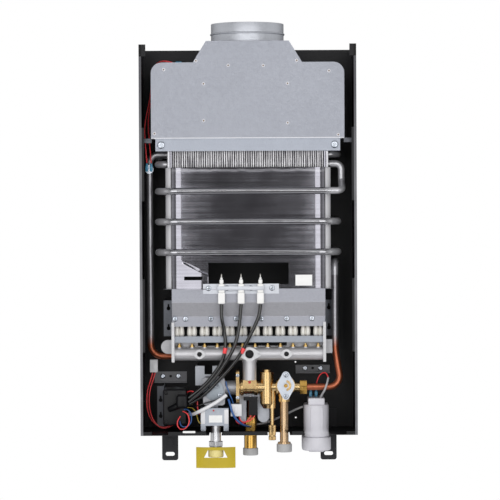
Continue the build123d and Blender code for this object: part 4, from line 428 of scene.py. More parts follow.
def cross_head(bm, where, size):
    """A pan head that faces forward, its flat top cut by a cross recess."""
    part = bmesh.new()
    rim = [(HEAD_R, 0), (HEAD_R, HEAD_H * 0.45), (HEAD_R * 0.93, HEAD_H * 0.8), (HEAD_R * 0.72, HEAD_H)]
    spin_profile(part, rim, steps=24)
    level = HEAD_H - 0.01
    top = [edge for edge in part.edges if min(v.co.z for v in edge.verts) > level * MM]
    bmesh.ops.contextual_create(part, geom=top)
    for normal in ((1, 0, 0), (0, 1, 0)):
        for cut in (-CROSS_L, -CROSS_W, CROSS_W, CROSS_L):
            flat = [face for face in part.faces if face.calc_center_median().z > level * MM]
            cut_faces(part, flat, Vector(normal) * cut * MM, normal)
    cross = []
    for face in part.faces:
        middle = face.calc_center_median() / MM
        near, far = sorted((abs(middle.x), abs(middle.y)))
        if middle.z > level and near < CROSS_W and far < CROSS_L:
            cross.append(face)
    sunk = bmesh.ops.extrude_face_region(part, geom=cross)["geom"]
    bmesh.ops.delete(part, geom=cross, context="FACES")
    bmesh.ops.translate(part, verts=corners(sunk), vec=(0, 0, -CROSS_DEEP * MM))
    bmesh.ops.recalc_face_normals(part, faces=part.faces)
    join(bm, part, Matrix.Translation(where) @ FORWARD @ Matrix.Scale(size, 4))


def screw_set(name, material, slot, screws, *replaced):
    """Pan-head screws as one piece, each given by its spot and its size."""
    bm = bmesh.new()
    for *where, size in screws:
        cross_head(bm, spot(*where), size)
    piece(name, bm, material, "heater", slot, *replaced)


def round_off(bm, geom, width, segments, affect="EDGES"):
    """Round off edges, or the corners of a flat sheet."""
    bmesh.ops.bevel(bm, geom=geom, offset=width * MM, offset_type="OFFSET", affect=affect, segments=segments,
                    profile=0.5, material=-1, clamp_overlap=True)


def add_block(bm, box, edge=0, segments=2):
    """A block between two values on each axis, with its edges rounded off if asked."""
    x0, x1, d0, d1, z0, z1 = box
    size = Matrix.Diagonal(((x1 - x0) * MM, (d1 - d0) * MM, (z1 - z0) * MM, 1))
    middle = Matrix.Translation(spot((x0 + x1) / 2, (d0 + d1) / 2, (z0 + z1) / 2))
    verts = bmesh.ops.create_cube(bm, size=1, matrix=middle @ size)["verts"]
    if edge:
        round_off(bm, list({side for vert in verts for side in vert.link_edges}), edge, segments)


screw_zinc = plated("screw_zinc", paint(150, 158, 170), paint(228, 233, 241), gloss=0.1)
screw_set("pan_screws", screw_zinc, "zinc", SCREWS, "fasteners")

# Painted highlight: the weld rings are a pale weld tone lifted lighter still, and the hem strip is light
# colour alone that stands for the highlight on the hood's bottom edge.
weld_and_hem_highlight = zinc_sheet("weld_and_hem_highlight", paint(214, 214, 218), paint(240, 240, 244), metal=0.3)
weld_brown = mottled("weld_brown", paint(84, 62, 46), paint(140, 118, 96), scale=800, Metallic=0.5,
                     Roughness=0.5)
rings, dots = bmesh.new(), bmesh.new()
for x, z in WELDS:
    turned(rings, WELD_RING, spot(x, HOOD_FRONT, z), FORWARD, steps=20)
    turned(dots, WELD_DOT, spot(x, HOOD_FRONT, z), FORWARD, steps=16)
add_block(rings, HEM_HIGHLIGHT)
piece("weld_rings_and_highlight", rings, weld_and_hem_highlight, "heater", "galvanised", "fasteners")
piece("weld_dots", dots, weld_brown, "heater", "galvanised", "fasteners")


# Exchanger jacket: one tinned copper sheet wrapped to a rounded box. Its foot is dented forward beside a wide
# window over the burner, a narrow slot is pierced on the left, and two tube plates stand on top.
SHELL_X = 135
SHELL_BACK = 18
SHELL_FRONT = 132
SHELL_MIDDLE = (SHELL_BACK + SHELL_FRONT) / 2
SHELL_HALF = (SHELL_FRONT - SHELL_BACK) / 2
SHELL_R = 25
SHELL_FOOT = 280
SHELL_TOP = 476
SHELL_T = 0.8
RIM_W = 4
WINDOW = (-65, 65, 287, 322)
SLOT = (-104, -75, 294, 300)
DENT_LINE = ((-108, 326.2), (-66, 304.9))
DENT_STEP = 4
DENT_TILT = 0.1
DENT_X = (-110, -78, -66, -30)
FOLD_W = 1
BEND_X = 108
PLATE_X = 129
PLATE_T = 1
PLATE_TOP = 522
PLATE_LIP = 7
PLATE_EDGE = 0.3
CORNER_START = (0.56, 0.7)
CORNER_END = (1.2, 1.4)
HEM_BAND = (472.5, 473.5, 476.5, 477.5)
HEM_WAVER = 7
TUBE_BEND = 14


def jacket_plan(place):
    """How far a point lies out across and forward of the centres of the jacket's corner rounds."""
    x = place.axis("X").size() - (SHELL_X - SHELL_R) * MM
    d = (place.axis("Y") + SHELL_MIDDLE * MM).size() - (SHELL_HALF - SHELL_R) * MM
    return x.math("MAXIMUM", x, 0), d.math("MAXIMUM", d, 0)


def sooty(place):
    """1 on the jacket's inner skin and 0 on its outer skin, found from the rounded plan."""
    x, d = jacket_plan(place)
    reach = x.math("SQRT", x * x + d * d, 0)
    below = 1 - place.axis("Z").past(SHELL_TOP - 0.1, SHELL_TOP)
    return (1 - reach.past(SHELL_R - 0.6, SHELL_R - 0.4)) * below


def corner_and_hem_highlight(place):
    """1 on the painted highlight bands round the jacket's corners, and a little along the hem at its top."""
    x, d = jacket_plan(place)
    turn = x.math("ARCTAN2", x, d)
    corner = turn.ramp(*CORNER_START) * (1 - turn.ramp(*CORNER_END))
    height = place.axis("Z") + HEM_WAVER * MM * place.noise(30)
    return corner.math("MAXIMUM", corner, height.within(*HEM_BAND) * 0.18)


def bend_highlight(place):
    """A painted highlight: rises from 0 on a tube in front of the jacket to a part of 1 on the bends beside
    it.
    """
    return 0.4 * place.axis("X").size().past(SHELL_X - TUBE_BEND, SHELL_X)


def tinned(name, dark, light, gloss, dents, highlight_mask, soot=None):
    """Hot-tinned copper: mirror-bright with drawn-out smears and small dents, with a dull, light painted
    highlight where the mask asks.
    """
    material, shader, place = surface(name)
    smear = place.stretch(3, 3, 160).noise(2, 5)
    patch = place.noise(26, 4)
    dent = place.stretch(1, 1, 0.6).noise(30, 2)
    highlight_and_soot = highlight_mask(place)
    bright = (smear * 0.6 + patch * 0.4).mix(dark, light)
    colour = highlight_and_soot.mix(bright, patch.mix(paint(232, 232, 236), paint(252, 252, 254)))
    rough = gloss + 0.16 * smear * patch + 0.34 * highlight_and_soot
    if soot:
        black = soot(place)
        colour = black.mix(colour, paint(30, 30, 33))
        rough = rough + 0.6 * black
        highlight_and_soot = highlight_and_soot.math("MAXIMUM", highlight_and_soot, black * 1.3)
    link(shader, Base_Color=colour, Roughness=rough, Metallic=1 - 0.95 * highlight_and_soot, Normal=dent.bump(dents))
    return material


def rounded_sheet(bm, wide, long, corner, segments, where=UP):
    """A level rectangle with rounded corners."""
    size = Matrix.Diagonal((wide * MM, long * MM, 1, 1))
    bmesh.ops.create_grid(bm, x_segments=1, y_segments=1, size=0.5, matrix=where @ size)
    round_off(bm, bm.verts[:], corner, segments, "VERTICES")


def on_front(place):
    """Whether a point of the jacket lies on its front wall."""
    return -place.y > (SHELL_FRONT - 0.5) * MM


def lies_in(face, hole):
    """Whether a face of the jacket's front lies inside a pierced opening."""
    centre = face.calc_center_median()
    x, z = centre.x / MM, centre.z / MM
    return on_front(centre) and hole[0] < x < hole[1] and hole[2] < z < hole[3]


# The jacket's corner bands and the hem along its top get a painted highlight: a dull, near-white colour in
# place of the bright bands they reflect.
jacket_tin = tinned("jacket_tin", paint(126, 125, 132), paint(184, 183, 192), gloss=0.05, dents=0.00005,
                    highlight_mask=corner_and_hem_highlight, soot=sooty)
bm = bmesh.new()
rounded_sheet(bm, 2 * SHELL_X, 2 * SHELL_HALF, SHELL_R, segments=14,
              where=Matrix.Translation(spot(0, SHELL_MIDDLE, SHELL_FOOT)))
bmesh.ops.delete(bm, geom=bm.faces[:], context="FACES_ONLY")
wall = bmesh.ops.extrude_edge_only(bm, edges=bm.edges[:])["geom"]
bmesh.ops.translate(bm, verts=corners(wall), vec=(0, 0, (SHELL_TOP - SHELL_FOOT) * MM))
(dent_x, dent_z), (dent_end_x, dent_end_z) = DENT_LINE
across_dent = Vector((dent_z - dent_end_z, 0, dent_end_x - dent_x)).normalized()
levels = (WINDOW[2], SLOT[2], SLOT[3], WINDOW[3])
columns = (*WINDOW[:2], *SLOT[:2], -BEND_X, BEND_X, DENT_X[1] - FOLD_W, DENT_X[1] + FOLD_W, *DENT_X[2:])
cuts = [(spot(0, 0, z), Vector((0, 0, 1))) for z in levels]
cuts += [(spot(x, 0, 0), Vector((1, 0, 0))) for x in columns]
cuts += [(spot(dent_x, 0, dent_z) - across_dent * below * MM, across_dent)
         for below in (-FOLD_W, 0, DENT_STEP, DENT_STEP + FOLD_W)]
for where, normal in cuts:
    cut_faces(bm, [face for face in bm.faces if on_front(face.calc_center_median())], where, normal)
openings = [face for face in bm.faces if lies_in(face, WINDOW) or lies_in(face, SLOT)]
bmesh.ops.delete(bm, geom=openings, context="FACES")
for vert in bm.verts:
    if on_front(vert.co):
        x = vert.co.x / MM
        below = (spot(dent_x, SHELL_FRONT, dent_z) - vert.co).dot(across_dent) / MM
        rise = max(0, min(x, DENT_X[1]) - DENT_X[0])
        fade = max(0, min(1, (DENT_X[3] - x) / (DENT_X[3] - DENT_X[2])))
        vert.co.y -= DENT_TILT * rise * fade * max(0, min(1, below / DENT_STEP)) * MM
foot = [edge for edge in bm.edges if max(v.co.z for v in edge.verts) < (SHELL_FOOT + 0.1) * MM]
for vert in corners(bmesh.ops.extrude_edge_only(bm, edges=foot)["geom"]):
    centre = spot(math.copysign(SHELL_X - SHELL_R, vert.co.x), SHELL_MIDDLE, SHELL_FOOT)
    outward = Vector((vert.co.x - centre.x if abs(vert.co.x) > abs(centre.x) else 0, 0, 0))
    near = -vert.co.y / MM - SHELL_MIDDLE
    outward.y = -math.copysign(max(0, abs(near) - SHELL_HALF + SHELL_R), near) * MM
    vert.co += outward.normalized() * RIM_W * MM
bmesh.ops.recalc_face_normals(bm, faces=bm.faces)
bmesh.ops.solidify(bm, geom=bm.faces[:], thickness=SHELL_T * MM)
for side in (-1, 1):
    outer = side * (PLATE_X + PLATE_T)
    lip_x = outer - side * PLATE_LIP
    for inner, back in ((side * PLATE_X, SHELL_BACK), (lip_x, SHELL_FRONT - PLATE_T)):
        add_block(bm, (*sorted((inner, outer)), back, SHELL_FRONT, SHELL_TOP, PLATE_TOP), PLATE_EDGE)
piece("jacket", bm, jacket_tin, "heater", "tinned", "heat_exchanger_shell", crease=28)


# Fins, fin tubes and coil: thin tinned copper plates on a tube that doubles back through them, and the same
# tube wound round the jacket, so the water is warmed before it meets the fins. Each fin has a turned lip.
FIN_COUNT = 68
FIN_PITCH = 3.6
FIN_LIP_W = 2.3
FIN_LIP_D = (124.7, 125.4)
FIN_Z = (476.5, 520.5)


def spread(count, pitch):
    """Places in even steps to both sides of the middle."""
    return [(i - (count - 1) / 2) * pitch for i in range(count)]


def about(middle, width):
    """The two ends of a width about its middle."""
    return middle - width / 2, middle + width / 2


fin_tin, shader, place = surface("fin_tin", Metallic=0.45)
row = place.stretch(1, 0.05, 0.08).noise(420, 3)
fin_shade = row.ramp(0.3, 0.62).mix(paint(122, 120, 125), paint(232, 231, 234))
link(shader, Base_Color=fin_shade, Roughness=0.34 + 0.2 * row)
dress(fin_tin, "heat_exchanger_fins")
bm = bmesh.new()
for x in spread(FIN_COUNT, FIN_PITCH):
    add_block(bm, (*about(x, FIN_LIP_W), *FIN_LIP_D, *FIN_Z), edge=0.25, segments=1)
piece("fin_lips", bm, fin_tin, "heater", "tinned")
# The tube bends beside the jacket get a painted highlight.
tube_tin = tinned("tube_tin", paint(150, 150, 154), paint(206, 206, 211), gloss=0.12, dents=0.0002,
                  highlight_mask=bend_highlight)
dress(tube_tin, "fin_tubes", "heating_coil")


# Riser and hot pipe: drawn copper, tinned along with the exchanger on the upper part. The lower part stays
# bare copper, and the tin ends in an uneven edge.
TIN_EDGE = (193, 211)
TIN_WAVER = 16


def part_tinned(name):
    """Copper pipe whose upper part was dipped in tin."""
    material, shader, place = surface(name, Metallic=0.85)
    patch = place.noise(30, 5)
    streak = place.stretch(40, 40, 4).noise(3, 4)
    tin = (place.axis("Z") + TIN_WAVER * MM * patch).past(*TIN_EDGE)
    copper = streak.mix(paint(152, 78, 54), paint(204, 124, 92))
    bright = patch.mix(paint(150, 149, 152), paint(200, 200, 204))
    link(shader, Base_Color=tin.mix(copper, bright), Roughness=0.26 + 0.16 * streak,
         Normal=place.noise(160).bump(0.00004))
    return material


pipe_metal = part_tinned("pipe_metal")
dress(pipe_metal, "cold_riser", "hot_downpipe")
dress(screw_zinc, "limit_thermostat")


# Burner: a bent front plate over a box, twelve stainless bars whose two-lobed mouths show below it, and a
# channel under the mouths. All of it hangs on two keyhole brackets and a zinc strap.
SLOPE = (235.0, 258.0)
BAR_PITCH = 20.5
BAR_COUNT = 12
BAR_W = 11
BAR_D = (26, 123.7)
BAR_Z = (222, 252)
BAR_EDGE = 1.2
LOBE_X = 3.8
LOBE_R = 4.2
LOBE_D = 114
LOBE = ((2.6, 3), (2.6, 0.4), (3.0, 0), (3.5, 0.5), (LOBE_R, 3), (LOBE_R, 9.5), (3.4, 13.5), (2.9, 16),
        (3.2, 19.6), (0, 19.6))
MOUTH_Z = 202.6
# The burner's leaning face, between the SLOPE heights, gets painted light.
burner_zinc = zinc_sheet("burner_zinc", paint(150, 151, 160), paint(180, 182, 190), lit_band=SLOPE)
rail_zinc = zinc_sheet("rail_zinc", paint(142, 147, 156), paint(178, 183, 192))
strap_zinc = zinc_sheet("strap_zinc", paint(168, 168, 171), paint(196, 196, 199))
bracket_zinc = zinc_sheet("bracket_zinc", paint(104, 107, 114), paint(132, 135, 142))
hanger_zinc = zinc_sheet("hanger_zinc", paint(166, 169, 176), paint(196, 199, 206))
dress(burner_zinc, "burner_box", "burner_front_plate")
dress(rail_zinc, "burner_lower_rail")
dress(strap_zinc, "burner_strap")
dress(bracket_zinc, "burner_brackets")
dress(hanger_zinc, "valve_mount", "switch_hanger")

bar_steel = zinc_sheet("bar_steel", paint(222, 218, 210), paint(248, 246, 240), metal=0.4)
bm = bmesh.new()
for x in spread(BAR_COUNT, BAR_PITCH):
    add_block(bm, (*about(x, BAR_W), *BAR_D, *BAR_Z), BAR_EDGE, segments=3)
    for side in (-LOBE_X, LOBE_X):
        turned(bm, LOBE, spot(x + side, LOBE_D, MOUTH_Z), steps=20)
piece("burner_bars_dressed", bm, bar_steel, "heater", "stainless", "burner_bars")


# Gas rail: one aluminium casting with pads for the brass jets, two bored bosses, a two-bolt port and end
# arms, fed from below through a short wide tube.
RAIL_Z = 173.6
RAIL_FACE = 127
BOSS_XS = (-80, 61)
BOSS_BORE_D = 122.6
BOSS_BORE = ((3.9, 0), (3.9, 2), (2.7, 0.3), (0, 0.3))
PORT_X = 1
PORT_BORE_D = 117
PORT_BORE = ((6.9, 0), (5.4, 0.3), (0, 0.3))


def cast(name, dark, light, metal=0.7, machined=None):
    """Sand-blasted casting: grainy, dull and a little uneven, bright where it was faced off in front."""
    material, shader, place = surface(name, Metallic=metal)
    grain = place.noise(900, 2)
    flow = place.noise(35, 4)
    colour = (grain * 0.4 + flow * 0.6).mix(dark, light)
    if machined:
        faced = (place.axis("Y") * -1).past(machined - 0.3, machined - 0.2)
        colour = faced.mix(colour, paint(206, 206, 208))
    link(shader, Base_Color=colour, Roughness=0.36 + 0.2 * flow, Normal=(grain + flow).bump(0.00012))
    return material


def brass(name, dark, light, gloss):
    """Forged and tumbled brass, paler on its high spots."""
    material, shader, place = surface(name, Metallic=1.0)
    tumble = place.noise(60, 5)
    fine = place.noise(600, 2)
    link(shader, Base_Color=(tumble * 0.7 + fine * 0.3).mix(dark, light), Roughness=gloss + 0.18 * tumble,
         Normal=(tumble + 0.06 * fine).bump(0.00004))
    return material


rail_cast = cast("rail_cast", paint(188, 187, 190), paint(230, 229, 232), machined=RAIL_FACE)
dress(rail_cast, "gas_manifold", "gas_feed_tube")
# Painted shade: dark discs set down in the bosses' and the port's bores stand for the shade inside them.
bore_shade = mottled("bore_shade", paint(24, 24, 26), paint(44, 44, 47), scale=300, Roughness=0.7)
bm = bmesh.new()
for x in BOSS_XS:
    turned(bm, BOSS_BORE, spot(x, BOSS_BORE_D, RAIL_Z), FORWARD, steps=24)
turned(bm, PORT_BORE, spot(PORT_X, PORT_BORE_D, RAIL_Z), FORWARD, steps=32)
piece("bore_shade_discs", bm, bore_shade, "heater", "cast_aluminium")
jet_brass = brass("jet_brass", paint(200, 160, 90), paint(232, 204, 140), gloss=0.24)
dress(jet_brass, "gas_nozzles")


# Ignition: three glazed white insulators clamped to a plated carrier, with steel tips that reach back over
# the burner. Each insulator takes a lead in its foot.
CERAMIC_XS = (-43.6, -12.0, 19.2)
CERAMIC_FOOT = 256
CERAMIC_D = 143.1
CERAMIC_STEPS = ((11.5, 9, 18, 1.6), (9.5, 9, 14, 1.2), (6.5, 6.5, 7.5, 1.8), (4, 4, 3, 1.2))
CLAMP = (-50, 25, 147.5, 148.3, 278, 284.5)
white_glaze = mottled("white_glaze", paint(236, 235, 232), paint(248, 248, 246), scale=120, Roughness=0.3)
bm = bmesh.new()
for x in CERAMIC_XS:
    z = CERAMIC_FOOT
    for wide, deep, tall, edge in CERAMIC_STEPS:
        add_block(bm, (*about(x, wide), *about(CERAMIC_D, deep), z, z + tall), edge, segments=3)
        z += tall
piece("insulators", bm, white_glaze, "heater", "white_ceramic", "electrode_ceramics")
dress(collar_zinc, "electrode_plate")
bm = bmesh.new()
add_block(bm, CLAMP, edge=0.3)
piece("insulator_clamp", bm, collar_zinc, "heater", "zinc")
dress(bar_steel, "electrode_pins")


# Gas valve: a grey die-cast body with a round-cornered cover, an adjusting spindle and a steel-cased solenoid
# below. White bars sit on the solenoid's front. Plain paper labels and red seal dabs are made here as well.
COVER_SPOT = (-57, 116, 114.5)
COVER_SIZE = (31, 32, 2)
COVER_R = 14
COVER_TILT = 18
COVER_RING_SPOT = (-52.5, 116, 123)
COVER_RING = ((6.2, 2), (6.2, 2.5), (5.6, 2.8), (3.3, 2.8), (3.3, 2))
COVER_SCREWS = ((-66.5, 118, 122, 0.8), (-47.5, 118, 106.5, 0.8))
SOLENOID_BARS = ((-78.5, -71.5, 124, 125.2, 60.5, 84), (-40.5, -33.5, 124, 125.2, 60.5, 84))
JACKET_LABEL = (76, 103, SHELL_FRONT, SHELL_FRONT + 0.2, 284.5, 302)
SMALL_LABELS = ((-65.3, -43.6, 124, 124.15, 62.7, 74.5), (-107, -87, 150, 150.15, 48.2, 51.4))
SEAL_DABS = ((-57.7, 124, 82.2, 1.6), (0.9, 119.5, 127.5, 2.2))
valve_cast = cast("valve_cast", paint(140, 141, 146), paint(184, 185, 190))
cover_cast = cast("cover_cast", paint(146, 154, 162), paint(172, 180, 188), metal=0.6)
case_steel = plated("case_steel", paint(150, 155, 164), paint(186, 191, 200), gloss=0.3)
dress(valve_cast, "gas_valve_body")
dress(case_steel, "solenoid_case")
dress(bar_steel, "solenoid_plunger", "valve_push_rod")


def rounded_plate(bm, where, size, corner, turn=0, edge=0.5, direction=FORWARD):
    """A flat plate with rounded corners and softened faces, turned in its own plane."""
    part = bmesh.new()
    wide, long, thick = size
    rounded_sheet(part, wide, long, corner, segments=8)
    raised = bmesh.ops.extrude_face_region(part, geom=part.faces[:])["geom"]
    bmesh.ops.translate(part, verts=corners(raised), vec=(0, 0, thick * MM))
    bmesh.ops.recalc_face_normals(part, faces=part.faces)
    level = [side for side in part.edges if abs(side.verts[0].co.z - side.verts[1].co.z) < MERGE * MM]
    round_off(part, level, edge, segments=2)
    join(bm, part, Matrix.Translation(where) @ direction @ Matrix.Rotation(math.radians(turn), 4, "Z"))


bm = bmesh.new()
rounded_plate(bm, spot(*COVER_SPOT), COVER_SIZE, COVER_R, COVER_TILT)
turned(bm, COVER_RING, spot(*COVER_RING_SPOT), FORWARD, steps=32)
piece("valve_cover", bm, cover_cast, "heater", "cast_aluminium", "gas_valve_cover")
screw_set("cover_screws", screw_zinc, "zinc", COVER_SCREWS)

white_mould = mottled("white_mould", paint(222, 222, 224), paint(236, 236, 238), scale=60, grain=1200,
                      Roughness=0.42)
bm = bmesh.new()
for bar in SOLENOID_BARS:
    add_block(bm, bar, edge=0.5)
piece("solenoid_bars", bm, white_mould, "heater", "white_plastic")

plain_paper = mottled("plain_paper", paint(240, 240, 238), paint(250, 250, 248), scale=300, Roughness=0.6)
bm = bmesh.new()
add_block(bm, JACKET_LABEL)
for label in SMALL_LABELS:
    add_block(bm, label, edge=0.05, segments=1)
piece("plain_labels", bm, plain_paper, "heater", "white_plastic")

red_seal = mottled("red_seal", paint(186, 30, 38), paint(214, 58, 62), scale=300, Roughness=0.4)
bm = bmesh.new()
for *where, r in SEAL_DABS:
    turned(bm, [(r, 0), (r * 0.8, 0.4), (0, 0.6)], spot(*where), FORWARD, steps=16)
piece("seal_dabs", bm, red_seal, "heater", "wire_jacket")


# Gas inlet: a nickel-plated tail pipe with a union nut and a male thread, closed by a yellow moulded cap. A
# yellow card hangs on the cap.
GAS_SPOT = (-54.6, 105)
GAS_CAP = (*GAS_SPOT, 5, 13)
TAIL_R = 8.5
TAIL_BORE = 6.5
TAIL_Z = (7.5, 57.5)
TAIL_NUT_Z = 26.7
TAIL_NUT_H = 7.5
TAIL_NUT_HOLE = 8.6
THREAD_R = 10.48
THREAD_Z = (8, 22.7)
THREAD_PITCH = 1.8
THREAD_DEEP = 0.7
NUT_AF = 22
NUT_CHAMFER = 0.25
NUT_EDGE = 0.5
CAP_R = 12.5
CAP_BORE = 10.53
CAP_FLOOR = 1.6
CAP_RIBS = 36
CAP_RIB_DEEP = 0.45


def hex_nut(bm, where, height, hole, direction=UP):
    """A hexagon with chamfered corners and a round hole."""
    part = bmesh.new()
    r = NUT_AF / math.sqrt(3)
    bmesh.ops.create_cone(part, cap_ends=True, segments=6, radius1=r * MM, radius2=r * MM, depth=height * MM)
    ends = [face for face in part.faces if abs(face.normal.z) > 0.9]
    bmesh.ops.inset_region(part, faces=ends, thickness=(r - NUT_AF / 2 * 0.98) * MM, depth=NUT_CHAMFER * MM)
    core = [face for face in part.faces if abs(face.normal.z) > 0.9 and face.calc_area() > (r * MM) ** 2]
    bmesh.ops.delete(part, geom=core, context="FACES_ONLY")
    edges = [edge for edge in part.edges if abs(edge.verts[0].co.z - edge.verts[1].co.z) > height * 0.9 * MM]
    round_off(part, edges, NUT_EDGE, segments=2)
    half, ring = height / 2 + NUT_CHAMFER, NUT_AF / 2 * 0.94
    turned(part, [(ring, half), (hole, half), (hole, -half), (ring, -half)], (0, 0, 0), steps=32)
    bmesh.ops.recalc_face_normals(part, faces=part.faces)
    join(bm, part, Matrix.Translation(where) @ direction)


def thread(z0, z1, r):
    """The profile of a male thread drawn as close rings, from the lower to the upper end."""
    root, pitch = r - THREAD_DEEP, THREAD_PITCH
    points = []
    z = z0
    while z + pitch <= z1:
        points += [(root, z), (r, z + pitch * 0.35), (r, z + pitch * 0.55), (root, z + pitch * 0.9)]
        z += pitch
    return points


def moulded(name, dark, light, rough=0.4, shine=0.5):
    """Moulded plastic with a fine spark-eroded grain."""
    material, shader, place = surface(name, Specular_IOR_Level=shine)
    cloud = place.noise(45, 4)
    link(shader, Base_Color=cloud.mix(dark, light), Roughness=rough + 0.12 * cloud,
         Normal=place.noise(1600, 2).bump(0.00004))
    return material


def knurl(part, count, r, deep, first=0):
    """Sink every other column of points round a turned bmesh's widest bands."""
    for vert in part.verts:
        out = Vector((vert.co.x, vert.co.y, 0)).length
        turn = round(math.atan2(vert.co.y, vert.co.x) / math.tau * count * 2)
        if out > (r - 0.1) * MM and turn % 2 == first:
            vert.co.x *= 1 - deep / r
            vert.co.y *= 1 - deep / r


def ribbed_cap(bm, x, d, foot, height):
    """A push-on cap: a cup with fine grip ribs round its wall."""
    part = bmesh.new()
    r = CAP_R
    wall = [(0, 0), (r - 1.2, 0), (r - 0.4, 0.4), (r, 1.2), (r, height - 0.8), (r - 0.4, height - 0.2),
            (r - 0.8, height), (CAP_BORE, height), (CAP_BORE, CAP_FLOOR), (0, CAP_FLOOR)]
    turned(part, wall, (0, 0, 0), steps=CAP_RIBS * 2)
    knurl(part, CAP_RIBS, r, CAP_RIB_DEEP)
    join(bm, part, Matrix.Translation(spot(x, d, foot)))


nickel = plated("nickel", paint(208, 208, 212), paint(240, 240, 243), gloss=0.26)
low, high = TAIL_Z
tail = [(TAIL_BORE, low), (THREAD_R - 1, low)] + thread(*THREAD_Z, THREAD_R)
tail += [(TAIL_R, THREAD_Z[1]), (TAIL_R, high), (TAIL_BORE, high)]
bm = bmesh.new()
turned(bm, tail, spot(*GAS_SPOT, 0), closed=True)
hex_nut(bm, spot(*GAS_SPOT, TAIL_NUT_Z), TAIL_NUT_H, TAIL_NUT_HOLE)
piece("gas_tail", bm, nickel, "heater", "zinc", "gas_inlet_pipe")

yellow_mould = moulded("yellow_mould", paint(232, 214, 128), paint(244, 230, 160))
bm = bmesh.new()
ribbed_cap(bm, *GAS_CAP)
piece("yellow_cap", bm, yellow_mould, "gas_cap", "yellow_plastic", "gas_cap")
yellow_card = mottled("yellow_card", paint(184, 160, 2), paint(204, 180, 12), scale=30, grain=500,
                      Roughness=0.45)
dress(yellow_card, "gas_tag")


# Water side: a forged brass body between a square flange and the union nut, with a lozenge plate over its
# flow adjuster, a straight cold inlet and a tee for the hot outlet. Raised collars ring its barrel, and a
# short cone hangs under it.
BARREL = (104, 118)
BARREL_RINGS = ((-14, 5, 13.2), (-6, 2, 11.6), (8, 6, 12.6), (44, 4, 12.2))
RING_INNER = 10
RING_EDGE = 0.6
FOOT_SPOT = (29, 104, 0)
FOOT_CONE = ((0, 84), (6, 84), (10.9, 92), (10.9, 93), (0, 93))
UNION_SPOT = (88.45, 104, 118.5)
UNION_H = 11.2
UNION_HOLE = 5.6
VALVE_SCREWS = [(-18.5, 123, z, 0.7) for z in (103, 139)] + [(59.8, 120.5, z, 0.9) for z in (104.5, 139)]
COLD_CAP = (57, 104, 12.7, 13.3)
HOT_CAP = (2, 70, 4.5, 11.8)
body_brass = brass("body_brass", paint(200, 162, 104), paint(240, 212, 160), gloss=0.17)
pipe_brass = brass("pipe_brass", paint(184, 152, 116), paint(222, 194, 158), gloss=0.15)
tee_brass = brass("tee_brass", paint(190, 144, 64), paint(232, 190, 108), gloss=0.13)
plate_zinc = zinc_sheet("plate_zinc", paint(196, 202, 212), paint(222, 228, 236), metal=0.6)
dress(body_brass, "water_valve_body", "valve_flange")
dress(pipe_brass, "cold_inlet_pipe")
dress(tee_brass, "hot_outlet", "flow_spindle")
dress(screw_zinc, "gas_spindle")
dress(plate_zinc, "flow_plate")

bm = bmesh.new()
hex_nut(bm, spot(*UNION_SPOT), UNION_H, UNION_HOLE, SIDEWAYS)
piece("riser_nut", bm, tee_brass, "heater", "brass", "union_nut")

bm = bmesh.new()
for x, wide, r in BARREL_RINGS:
    ring = [(RING_INNER, 0), (r - RING_EDGE, 0), (r, RING_EDGE), (r, wide - RING_EDGE), (r - RING_EDGE, wide),
            (RING_INNER, wide)]
    turned(bm, ring, spot(x, *BARREL), SIDEWAYS)
turned(bm, FOOT_CONE, spot(*FOOT_SPOT))
piece("valve_collars", bm, body_brass, "heater", "brass")
screw_set("valve_screws", screw_zinc, "zinc", VALVE_SCREWS)

grey_mould = moulded("grey_mould", paint(172, 172, 172), paint(190, 190, 190))
bm = bmesh.new()
ribbed_cap(bm, *COLD_CAP)
piece("cold_stopper", bm, grey_mould, "cold_cap", "grey_plastic", "cold_cap")
bm = bmesh.new()
ribbed_cap(bm, *HOT_CAP)
piece("hot_stopper", bm, grey_mould, "hot_cap", "grey_plastic", "hot_cap")


# Drain screw: turned brass with a knurled grip in two bands that hangs below the case, and a slim stem that
# reaches up to the water valve.
DRAIN_SPOT = (37.5, 104, 0)
KNURLS = 40
KNURL_R = 6
KNURL_DEEP = 0.3
DRAIN = ((0, 32), (5.2, 32), (KNURL_R, 32.8), (KNURL_R, 38), (5.4, 38.6), (5.4, 40), (KNURL_R, 40.6),
         (KNURL_R, 56.2), (5.2, 57), (3.2, 57), (3.2, 91), (0, 91))
part = bmesh.new()
turned(part, DRAIN, (0, 0, 0), steps=KNURLS * 2)
knurl(part, KNURLS, KNURL_R, KNURL_DEEP, first=1)
bm = bmesh.new()
join(bm, part, Matrix.Translation(spot(*DRAIN_SPOT)))
piece("drain_screw", bm, body_brass, "drain_valve", "brass", "drain_valve")


# Flow switch: a black moulded switch on a plated hanger behind the valve, with a white button that moves
# with the valve's push rod.
black_mould = moulded("black_mould", paint(12, 12, 14), paint(24, 24, 27), rough=0.24, shine=0.25)
dress(black_mould, "microswitch")
dress(white_mould, "microswitch_plunger")


# Control box: a black moulded case with a seam behind its lid, and a rubber boot on its front where the leads
# go in. A wrapped bundle lies across the lid, which three small screws hold.
BOX = (-140, -102, 30, 110, 57, 115)
BOX_EDGE = 2
BOX_LID_T = 7.2
SEAM_W = 0.8
SEAM_IN = 1
SEAM_LAP = 0.2
BOX_SCREWS = [(x, 110, z, 0.7) for x, z in ((-135, 62), (-135, 110), (-107, 62))]
BOOT = (-118, -100, 110, 128, 86, 108)
BUNDLE = ((-104, 121, 95), (-131, 115, 83))


def along(start, end):
    """The turn that lays an upright line along the way from one point to another."""
    return (end - start).to_track_quat("Z", "Y").to_matrix().to_4x4()


